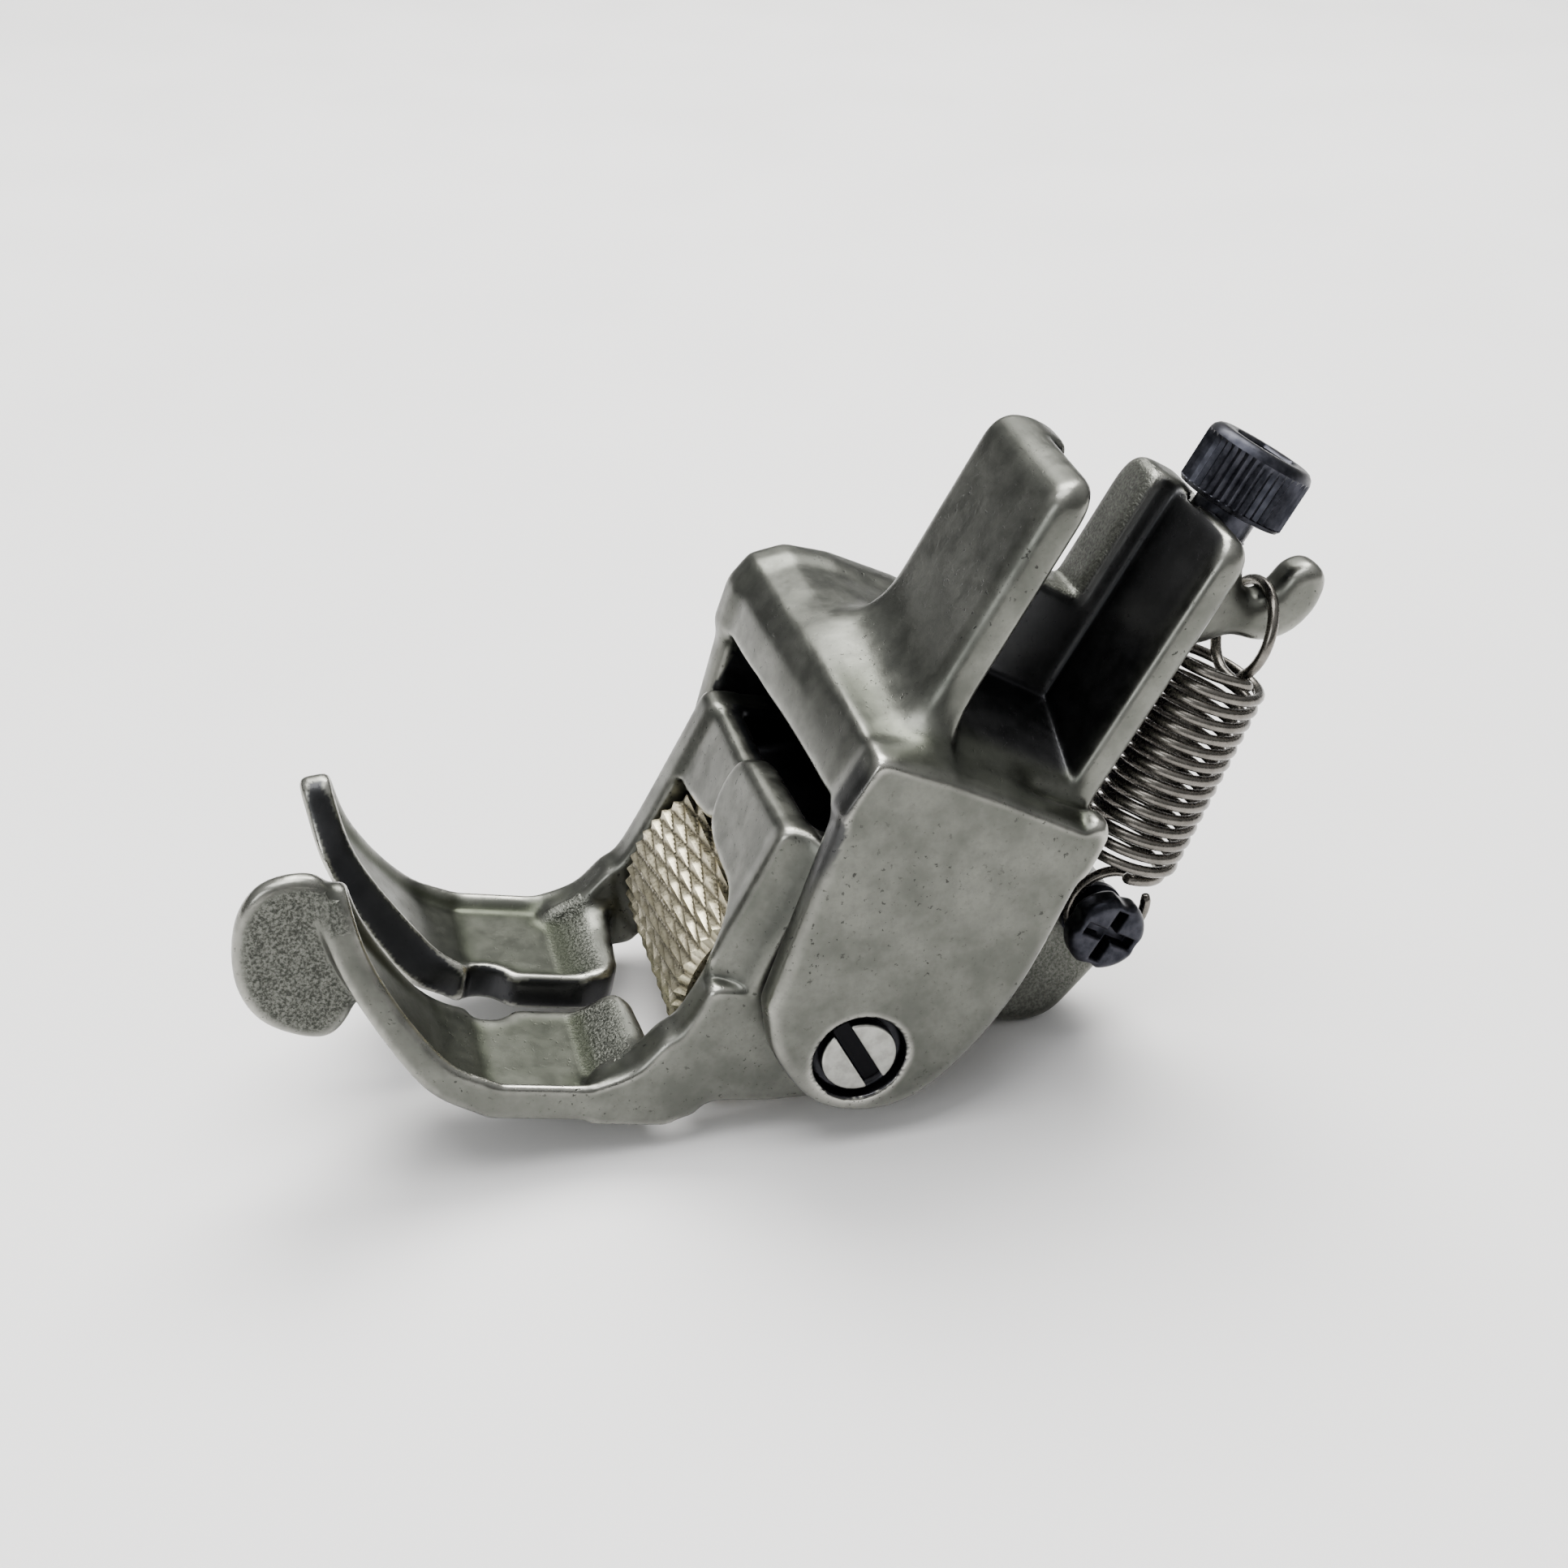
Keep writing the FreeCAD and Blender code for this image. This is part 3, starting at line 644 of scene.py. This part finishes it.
def unrolled(grid):
    """Distance along the underside from the hinge to each (y, z).

    A toe's width is set by this distance, so that it follows the toe's curl.
    """
    lengths = np.r_[0, np.cumsum(np.hypot(*np.diff(toe_curve, axis=0).T))] - TOE_START
    y2, z2 = np.broadcast_arrays(grid.y, grid.z)
    best = np.full(y2.shape, 1e9)
    along = -y2.astype(float)
    tip_y = toe_curve[-1][0]
    for (ay, az), (by, bz), start in zip(toe_curve[:-1], toe_curve[1:], lengths[:-1]):
        dy, dz = by - ay, bz - az
        span = math.hypot(dy, dz)
        t = ((y2 - ay) * dy + (z2 - az) * dz) / span ** 2
        t = np.maximum(t, 0) if by == tip_y else np.clip(t, 0, 1)
        gap = (y2 - ay - t * dy) ** 2 + (z2 - az - t * dz) ** 2
        nearer = (gap < best) & (y2 < TOE_START)
        best = np.where(nearer, gap, best)
        along = np.where(nearer, start + t * span, along)
    return along.astype(np.float32)


s_toe = unrolled(g)
outer_edge = [(SOLE_HALF, 17.0), (9.1, 20.95), (8.4, 23.9), (7.5, 27.5), (6.9, 30.2), (6.3, 31.7)]
inner_edge = [(4.65, 31.7), (4.0, 30.0), (3.4, 28.0), (2.4, 24.6), (1.35, 20.8), (0.62, 18.0)]
toe_plan = curve(outer_edge + [(5.5, 32.2)] + inner_edge, n=6)
NEEDLE_R, NEEDLE_AT, SLOT_HALF = 1.45, 16.6, 0.52
needle = []
for a in np.radians(np.arange(30, 151, 20)):
    needle.append((NEEDLE_R * math.sin(a), NEEDLE_AT + NEEDLE_R * math.cos(a)))
slot_corner = curve([(SLOT_HALF, 11.2), (0.9, 9.9), (2.0, 9.2)], n=5)
plan_near = outline((SOLE_HALF, 8.3), toe_plan, needle, (SLOT_HALF, 14.9), (SLOT_HALF, 11.2), slot_corner,
                    (2.0, 9.2), (ARM_IN, 8.8))
FINE_STEP, FINE_X0 = 0.1, -10.0
fine_x = np.arange(FINE_X0, 10.01, FINE_STEP)
fine_s = np.arange(0.0, 40.01, FINE_STEP)
plan_field = polygon(fine_x[:, None], fine_s[None], plan_near)


def plan_distance(x):
    """Distance to a toe's unrolled outline at every grid point, looked up in a finer table.

    Below the rim the inner edge moves toward the slot, so that the inner wall slopes.
    """
    low = np.clip(1 - over_toe / 1.9, 0, 1)
    x = x + low * smooth((6.0 - x) / 3.5) * smooth((s_toe - 18.4) / 3.0) * smooth((31.5 - s_toe) / 3.0)
    i = np.clip((x - FINE_X0) / FINE_STEP, 0, len(fine_x) - 1.001)
    j = np.clip(s_toe / FINE_STEP, 0, len(fine_s) - 1.001)
    i0, j0 = i.astype(int), j.astype(int)
    u, v = i - i0, j - j0
    found = plan_field[i0, j0] * (1 - u) * (1 - v) + plan_field[i0 + 1, j0] * u * (1 - v)
    found = found + plan_field[i0, j0 + 1] * (1 - u) * v + plan_field[i0 + 1, j0 + 1] * u * v
    return found.astype(np.float32)


d_near = plan_distance(g.x)
d_far = plan_distance(-g.x)


def thickness(d_plan, floor_t, slot_lip):
    """Height of the top surface over the underside: rims, dished floor and rear ridge."""
    toward_slot = smooth((6.4 - np.abs(g.x)) / 3.6) * smooth((29.0 - s_toe) / 9.0)
    outer_lip = 2.10 - 0.45 * smooth((s_toe - 17.0) / 9.0)
    lip = outer_lip + (slot_lip - outer_lip) * toward_slot
    rim = 1 - smooth((-d_plan - 0.35) / 1.0)
    rise = smooth((12.1 - s_toe) / 2.4)
    dish = floor_t + (1.15 - floor_t) * smooth((s_toe - 20.0) / 9.0)
    flat = dish + (lip - dish) * rim
    ridge_top = 2.45 + 0.3 * smooth((np.abs(g.x) - 5.0) / 2.0)
    return flat * (1 - rise) + ridge_top * rise


NEAR_FLOOR, NEAR_LIP, FAR_FLOOR, FAR_LIP = 0.85, 0.90, 1.45, 2.15
toes = []
for d_plan, floor_t, lip in ((d_near, NEAR_FLOOR, NEAR_LIP), (d_far, FAR_FLOOR, FAR_LIP)):
    top = thickness(d_plan, floor_t, lip)
    toe = smax(-over_toe, (over_toe - top) * 0.9, 0.5)
    toes.append(join(toe, d_plan, 0.35))
sole = np.minimum(toes[0], toes[1])
fin_points = [(-26.6, 11.2), (-29.2, 10.8), (-30.35, 8.6), (-30.0, 5.2), (-28.3, 3.0), (-25.3, 2.5),
              (-24.2, 5.2), (-25.4, 8.2)]
fin = slab(g, curve(fin_points, closed=True), 5.15, 6.25, 0.42)
sole = smin(sole, fin, 0.7)
arm_front = [(-12.0, 2.2), (-10.6, 3.2), (-9.45, 4.8), (-8.35, 6.2), (-6.35, 12.43), (-5.05, 16.9)]
arm_back = [(-8.70, 0.0), (-7.2, 0.35), (-6.2, 1.25), (-3.19, 1.42), (0.0, 2.0), (3.4, 3.3), (5.2, 5.8),
            (5.6, 9.0), (5.4, 14.4)]
arm_outline = outline((-9.6, 0.0), (-8.70, 0.0), curve(arm_back, n=5), (3.6, 15.6), (-3.2, 17.1),
                      (-5.0, 17.1), curve(arm_front[::-1], n=5), (-12.4, 1.6), (-12.2, 0.0))
NEAR_ARM_TOP, FAR_ARM_TOP = 16.3, 15.75
for inner, outer, top in ((ARM_IN, SOLE_HALF, NEAR_ARM_TOP), (-SOLE_HALF, -ARM_IN, FAR_ARM_TOP)):
    arm = slab(g, arm_outline, inner, outer, 0.45)
    sole = smin(sole, smax(arm, g.z - top, 0.5), 0.8)


def behind_face(y, z):
    """How far (y, z) lies behind the sloping front face of the roller housing, along y."""
    return y - FACE_FOOT_Y - (z - FACE_FOOT_Z) * FACE_SLOPE


def front_plane(offset):
    """Distance behind the front face moved back by offset."""
    return (behind_face(g.y, g.z) - offset) * 0.96


def wing(points, offset, thick, radius):
    """Plate of the housing's front face, cut to an (x, z) outline."""
    depth = np.abs(front_plane(offset) - thick / 2) - thick / 2
    return join(polygon(g.x, g.z, points), depth, radius)


far_edge = [(-0.2, 12.6), (-1.6, 11.75), (-3.5, 11.35), (-5.6, 11.1), (-7.1, 11.0), (-8.9, 10.6)]
far_wing = outline((-8.9, 15.75), (-1.0, 15.6), (0.6, 15.6), (0.6, 12.9), curve(far_edge, n=5))
near_edge = [(0.3, 16.3), (-0.6, 15.8), (-0.95, 14.4), (-0.5, 12.95), (0.7, 12.1), (3.0, 11.8), (5.6, 11.6),
             (7.0, 10.2), (7.6, 8.6)]
near_wing = outline((8.9, 16.6), (1.2, 16.4), curve(near_edge, n=6), (9.0, 8.6))
front = smin(wing(far_wing, 0.30, 1.5, 0.42), wing(near_wing, -0.25, 1.7, 0.45), 0.22)
sole = smin(sole, front, 0.55)
hood_outline = outline((-5.6, 11.0), (-4.9, 12.6), (-1.5, 13.4), (3.2, 14.3), (5.4, 14.0), (5.6, 9.0),
                       (5.4, 5.6), (3.0, 8.0))
hood = slab(g, hood_outline, -SOLE_HALF + 0.3, SOLE_HALF - 0.3, 0.3)
sole = smin(sole, hood, 0.6)
tail_curve = [(5.5, 14.9), (10.2, 14.3), (14.6, 12.2), (16.75, 10.3), (16.7, 8.4), (15.3, 5.6), (13.9, 3.6),
              (11.9, 3.0), (10.0, 3.5), (8.0, 5.5), (5.0, 8.0)]
tail_outline = outline((4.2, 14.3), curve(tail_curve, n=5), (4.4, 8.2))
tail = slab(g, tail_outline, -0.2, 3.8, 0.55)
sole = smin(sole, tail, 0.9)
swing = math.radians(SOLE_LEAN - BODY_LEAN)
z_hinge = g.z - HINGE_ABOVE_SOLE
yb = g.y * math.cos(swing) - z_hinge * math.sin(swing)
zb = g.y * math.sin(swing) + z_hinge * math.cos(swing)
pad = join(join(np.abs(yb - 4.25) - 4.25, np.abs(zb - 9.95) - 1.3, 0.3), np.abs(g.x - 2.9) - 3.1, 0.3)
sole = smin(sole, pad, 0.7)
sole = soften(sole, 2)
flute = np.hypot(g.x - 10.35, front_plane(0.0) + 0.25) - 2.15
flute = np.maximum(flute, 8.2 - g.z)
sole = smax(sole, -flute, 0.5)
clearance = rod_x(g, ROLLER_R + 0.42, -ARM_IN, ARM_IN, ROLLER_Y, ROLLER_Z)
sole = smax(sole, -clearance, 0.25)
sole = np.maximum(sole, -rod_x(g, 1.18, -12.0, 12.0, 0.0, HINGE_ABOVE_SOLE))
sole = np.maximum(sole, -rod_x(g, 1.0, -SOLE_HALF + 0.28, SOLE_HALF - 0.28, ROLLER_Y, ROLLER_Z))
sole = np.maximum(sole, np.abs(g.x) - SOLE_HALF)
points, faces, normals = surface_net(sole, g)
proud = relief(points, faces, normals, 12)
x, y, z = points.T
grit_strip = smooth((y + 12.6) / 0.7) * smooth((-9.9 - y) / 0.7) * (np.abs(x) < 7.6)
grit_strip = grit_strip * (normals[:, 2] > 0.2) * (z < 3.2)
fin_face = (y < -23.5) * (x > 4.6) * (x < 6.9) * (z < 11.6) * (np.abs(normals[:, 0]) > 0.85) * (z > 2.0)
rear = smooth((y - 6.5) / 1.2)
raw = np.clip(grit_strip + 0.9 * fin_face + rear * 0.45, 0, 1)
raw = raw * smooth((0.06 - proud) / 0.05)
hidden = (np.abs(x) < ARM_IN + 0.3) & (behind_face(y, z) > 1.1) & (y < 6.0) & (z > 9.0)
shade = 0.93 * hidden
on_top = smooth((normals[:, 2] * 0.9 + normals[:, 1] * 0.5 - 0.2) / 0.4)
sheen = on_top * smooth((-10.2 - y) / 1.0) * smooth((0.03 - proud) / 0.05) * (np.abs(x) < 9.2)
slot_wall = (np.abs(normals[:, 0]) > 0.45) * (normals[:, 2] > -0.3) * (proud < 0.06)
slot_wall = slot_wall * (x > -6.0) * (x < 0.0) * (y < -8.6) * (y > -26.5)
shade = np.maximum(shade, 0.85 * slot_wall)
sole_piece = mesh_object("sole_casting", sole_frame(points), faces,
                         {"proud": proud, "raw": raw, "shade": shade, "sheen": 0.82 * sheen})
dress(sole_piece, CAST, "sole", "cast_steel", "sole")

# ---------------------------------------------------------------- roller (sole frame)
STARTS, DIAMOND, DEPTH, FINE = 46, 4.0, 0.30, 10
columns = STARTS * FINE
rows = int(round(2 * (ROLLER_HALF - 0.45) / DIAMOND * FINE * 2))
along = np.linspace(-ROLLER_HALF + 0.45, ROLLER_HALF - 0.45, rows)
angle = np.arange(columns) * 2 * math.pi / columns
u = angle[None] * STARTS / (2 * math.pi)
v = along[:, None] / DIAMOND


def ridge(t):
    """Triangle wave: 0 on a groove, 1 halfway between two grooves."""
    return 1 - np.abs((t % 1.0) * 2 - 1)


knurl = np.minimum(ridge(u + v), ridge(u - v))
radius = ROLLER_R - DEPTH + DEPTH * knurl
ring_r = [1.82, 1.82, 4.9, 5.35]
ring_x = [-ROLLER_HALF + 0.2, -ROLLER_HALF, -ROLLER_HALF, -ROLLER_HALF + 0.1]
all_r = np.vstack([np.repeat(np.array(ring_r)[:, None], columns, 1), radius,
                   np.repeat(np.array(ring_r[::-1])[:, None], columns, 1)])
all_x = np.concatenate([ring_x, along, [-a for a in ring_x[::-1]]])
end_height = np.full((len(ring_r), columns), 0.3)
height = np.vstack([end_height, knurl, end_height])
points = np.stack([np.repeat(all_x[:, None], columns, 1), ROLLER_Y + all_r * np.cos(angle),
                   ROLLER_Z + all_r * np.sin(angle)], 2).reshape(-1, 3)
roller = mesh_object("knurled_roller", sole_frame(points), tube_faces(len(all_x), columns)[:, ::-1],
                     {"height": height.ravel()}, 22)
dress(roller, KNURL, "roller", "roller_steel", "roller")

# ---------------------------------------------------------------- tension spring (body frame)
WIRE_R, COILS, COIL_R, LOW_RING_R = 0.29, 15, 2.735, 2.2
low_end = np.array([SPRING_X, 11.30, 12.6])
top_end = np.array([SPRING_X, 9.60, 24.3])
low_ring = np.array([SPRING_X, ANCHOR_Y + 0.35, ANCHOR_Z - 1.0 - 0.12 - WIRE_R + LOW_RING_R])
tilt = math.radians(RING_TILT)
top_ring = np.array([SPRING_X, RING_Y, RING_Z])
ring_down = np.array([0.0, math.sin(tilt), -math.cos(tilt)])
axis = (top_end - low_end) / np.linalg.norm(top_end - low_end)
side_x = np.array([1.0, 0.0, 0.0])
side_y = np.cross(axis, side_x)
path = []
for a in np.radians(np.arange(220, -91, -8)):
    path.append(low_ring - LOW_RING_R * np.array([0.0, math.cos(a), math.sin(a)]))
coil = []
for i in range(COILS * 40 + 1):
    t = i / 40.0
    share = t / COILS
    phase = 2 * math.pi * t
    spread = COIL_R * (0.86 + 0.14 * smooth(min(t, COILS - t) / 0.8))
    centre = low_end + (top_end - low_end) * share
    coil.append(centre + spread * (math.cos(phase) * side_x + math.sin(phase) * side_y))
hang = []
for a in np.radians(np.arange(0, 331, 8)):
    hang.append(top_ring + RING_R * (math.cos(a) * ring_down - math.sin(a) * side_x))


def bridge(a, a_dir, b, b_dir, pull, n=10):
    """Smooth run of wire from a to b, leaving and arriving along the given directions."""
    out = []
    for t in np.linspace(0, 1, n + 2)[1:-1]:
        out.append((1 - t) ** 3 * a + 3 * t * (1 - t) ** 2 * (a + a_dir * pull)
                   + 3 * t * t * (1 - t) * (b - b_dir * pull) + t ** 3 * b)
    return out


def unit(vector):
    return vector / np.linalg.norm(vector)


path = path + bridge(path[-1], unit(path[-1] - path[-2]), coil[0], unit(coil[1] - coil[0]), 1.3) + coil
path = path + bridge(coil[-1], unit(coil[-1] - coil[-2]), hang[0], unit(hang[1] - hang[0]), 1.6) + hang
points, faces = sweep(path, WIRE_R, 12)
spring = mesh_object("tension_spring_wire", body_frame(points), faces)
spring.data.materials.append(WIRE)
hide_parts("tension_spring")
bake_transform(spring)

# ---------------------------------------------------------------- stop screw (body frame)
HEAD_LOW, HEAD_TOP, HEAD_R, RIM = 31.35, 34.75, 2.87, 0.6
SHANK_R, PITCH = 1.75, 0.70


def screw_shape(radius, angle, height):
    """Hexagon in the socket, knurl round the head and thread on the shank."""
    socket = 1.48 / np.cos((angle + math.pi / 6) % (math.pi / 3) - math.pi / 6)
    in_socket = (radius < 1.72) & (height > HEAD_LOW + 1.0) & (radius > 0.5)
    radius = np.where(in_socket, socket * radius / 1.6, radius)
    on_side = np.clip((radius - HEAD_R + 0.25) / 0.2, 0, 1)
    on_side = on_side * (height > HEAD_LOW + 0.25) * (height < HEAD_TOP - RIM)
    teeth = np.abs((angle * 42 / (2 * math.pi)) % 1.0 - 0.5) * 2
    radius = radius - 0.17 * on_side * (1 - teeth)
    threaded = (height < 30.2) & (height > 25.35)
    thread = np.abs((height / PITCH - angle / (2 * math.pi)) % 1.0 - 0.5) * 2
    return np.where(threaded, radius - 0.30 * (1 - thread), radius)


rows = [(0.02, 11.30), (0.60, 11.30), (0.80, 11.6), (0.80, 24.9), (1.4, 25.05), (1.70, 25.3)]
rows += [(SHANK_R, h) for h in np.arange(25.4, 30.2, PITCH / 6)]
rows += [(1.65, 30.25), (1.65, 31.2), (1.7, HEAD_LOW), (2.5, HEAD_LOW), (2.74, HEAD_LOW + 0.06)]
rows += [(HEAD_R, HEAD_LOW + 0.25)]
rows += [(HEAD_R, h) for h in np.linspace(HEAD_LOW + 0.3, HEAD_TOP - 0.75, 5)]
for a in np.radians([10, 35, 60, 80, 90]):
    rows.append((HEAD_R - RIM * (1 - math.cos(a)), HEAD_TOP - RIM + RIM * math.sin(a)))
rows += [(1.95, HEAD_TOP), (1.80, HEAD_TOP - 0.02), (1.66, HEAD_TOP - 0.12), (1.60, HEAD_TOP - 0.18)]
rows += [(1.60, HEAD_TOP - 1.7), (0.02, HEAD_TOP - 2.3)]
points, faces = lathe(rows, 168, screw_shape)
points[:, 0] += STOP_X
points[:, 1] += STOP_Y
stop = mesh_object("stop_cap_screw", body_frame(points), faces, None, 32)
dress(stop, BLACK, "adjuster", "black_oxide", "stop_screw")


# ---------------------------------------------------------------- screws made as fine fields
def fine_piece(name, field, grid, place, painted_hollow_shade=None, flip=False):
    """Mesh of a fine field. hollow(x, y, z) marks the parts painted black as shade, and flip mirrors it in x.
    """
    points, faces, _ = surface_net(field, grid)
    values = None
    if painted_hollow_shade is not None:
        values = {"painted_hollow_shade": painted_hollow_shade(*points.T)}
    if flip:
        points[:, 0] = -points[:, 0]
        faces = faces[:, ::-1]
    return mesh_object(name, place(points), faces, values)


h = Grid((6.9, -2.3, -2.3), (11.7, 2.3, 2.3), 0.06)
cap = rod_x(h, 1.95, 10.65, 11.43, 0.0, 0.0, 0.14)
shoulder = rod_x(h, 1.15, 7.4, 10.9, 0.0, 0.0, 0.1)
collar = rod_x(h, 1.38, 9.6, 10.9)
slot_lean = math.radians(57.5)
across_slot = h.y * math.cos(slot_lean) + h.z * math.sin(slot_lean)
slot = np.maximum(np.abs(across_slot) - 0.47, 10.88 - h.x)
screw = smax(np.minimum(cap, np.minimum(shoulder, collar)), -slot, 0.1)


def below_face(x, y, z):
    """1 in the slot and down the side of the head, which are painted black as shade, 0 on its flat face."""
    return smooth((11.36 - x) / 0.10)


for name, flip in (("near", False), ("far", True)):
    piece = fine_piece("hinge_screw_%s_slotted" % name, screw, h, body_frame, below_face, flip)
    dress(piece, BRIGHT, "shank", "screw_steel", "hinge_screw_" + name)

h = Grid((3.6, ANCHOR_Y - 2.4, ANCHOR_Z - 2.4), (6.85, ANCHOR_Y + 2.4, ANCHOR_Z + 2.4), 0.06)
ay, az = h.y - ANCHOR_Y, h.z - ANCHOR_Z
head = rod_x(h, 2.15, 5.05, 6.65, ANCHOR_Y, ANCHOR_Z, 0.55)
neck = rod_x(h, 1.0, 3.8, 5.3, ANCHOR_Y, ANCHOR_Z)
anchor = smin(head, neck, 0.25)
CROSS_HALF, CROSS_REACH = 0.30, 1.5
cross = np.minimum(np.maximum(np.abs(ay) - CROSS_HALF, np.abs(az) - CROSS_REACH),
                   np.maximum(np.abs(az) - CROSS_HALF, np.abs(ay) - CROSS_REACH))
cross = np.maximum(cross, 5.75 - h.x)
anchor = smax(anchor, -cross, 0.25)
for a in np.radians([0, 90, 180, 270]):
    gap = np.hypot(ay - 2.45 * math.cos(a), az - 2.45 * math.sin(a)) - 0.55
    anchor = smax(anchor, -gap, 0.3)
piece = fine_piece("anchor_screw_cross", anchor, h, body_frame)
dress(piece, BLACK, "sole", "black_oxide", "anchor_screw")

# ---------------------------------------------------------------- small CAD parts that stay
for node, material in (("anchor_collar", BLACK), ("axle_screw_near", BLACK), ("axle_screw_far", BLACK),
                       ("roller_axle", BRIGHT), ("axle_shim_near", BRIGHT), ("axle_shim_far", BRIGHT),
                       ("roller_bush_near", BRONZE), ("roller_bush_far", BRONZE)):
    kept = frame["nodes"][node]
    kept.data.materials.clear()
    kept.data.materials.append(material)

# ---------------------------------------------------------------- floor, light, camera
n = Nodes("paper_floor")
paper = n.mix(n.ramp(n.noise(0.012, 3.0, 0.5), 0.3, 0.7), (0.86, 0.85, 0.85), (0.89, 0.88, 0.88))
n.finish(paper, n.ramp(n.noise(0.05, 2.0, 0.5), 0.3, 0.7, 0.55, 0.65), None, 0.0)
size = 1.6
floor = bpy.data.meshes.new("floor")
corners = [(-size, -size, 0), (size, -size, 0), (size, size, 0), (-size, size, 0)]
floor.from_pydata(corners, [], [(0, 1, 2, 3)])
floor.materials.append(n.material)
floor = bpy.data.objects.new("floor", floor)
bpy.context.scene.collection.objects.link(floor)

world = bpy.data.worlds.new("studio")
bpy.context.scene.world = world
world.use_nodes = True
tree = world.node_tree
background = tree.nodes["Background"]
coords = tree.nodes.new("ShaderNodeTexCoord")
split = tree.nodes.new("ShaderNodeSeparateXYZ")
tree.links.new(coords.outputs["Generated"], split.inputs[0])
ramp = tree.nodes.new("ShaderNodeValToRGB")
tree.links.new(split.outputs["Z"], ramp.inputs["Fac"])
ramp.color_ramp.elements[0].position = 0.0
ramp.color_ramp.elements[0].color = (0.07, 0.075, 0.065, 1)
ramp.color_ramp.elements[1].position = 0.75
ramp.color_ramp.elements[1].color = (0.95, 0.955, 0.96, 1)
tree.links.new(ramp.outputs["Color"], background.inputs["Color"])
background.inputs["Strength"].default_value = 0.75

centre = Vector(HINGE) / 1000.0 + Vector((0, -0.00093, 0.00954))


def soft_box(name, azimuth, elevation, distance, width, depth, power, colour=(1, 1, 1)):
    light = bpy.data.lights.new(name, "AREA")
    light.shape = "RECTANGLE"
    light.size = width
    light.size_y = depth
    light.energy = power
    light.color = colour
    lamp = bpy.data.objects.new(name, light)
    a, e = math.radians(azimuth), math.radians(elevation)
    direction = Vector((math.cos(e) * math.sin(a), -math.cos(e) * math.cos(a), math.sin(e)))
    lamp.location = centre + direction * distance
    lamp.rotation_euler = (-direction).to_track_quat("-Z", "Y").to_euler()
    bpy.context.scene.collection.objects.link(lamp)
    return lamp


soft_box("key", 250.0, 58.0, 0.60, 0.45, 0.35, 7.0, (1.0, 0.99, 0.96))
soft_box("top", 20.0, 82.0, 0.70, 0.50, 0.50, 5.0)
soft_box("front_fill", 40.0, 25.0, 0.80, 0.30, 0.30, 1.6, (0.97, 0.99, 1.0))

CAMERA_AZ, CAMERA_EL, CAMERA_DIST = 75.5, 29.3, 0.1114
a, e = math.radians(CAMERA_AZ), math.radians(CAMERA_EL)
forward = Vector((-math.cos(e) * math.sin(a), math.cos(e) * math.cos(a), -math.sin(e)))
camera_data = bpy.data.cameras.new("camera")
camera_data.sensor_width = 36.0
camera_data.lens = 49.2
camera_data.clip_start = 0.005
camera = bpy.data.objects.new("camera", camera_data)
camera.location = centre - forward * CAMERA_DIST
camera.rotation_euler = forward.to_track_quat("-Z", "Y").to_euler()
bpy.context.scene.collection.objects.link(camera)
bpy.context.scene.camera = camera
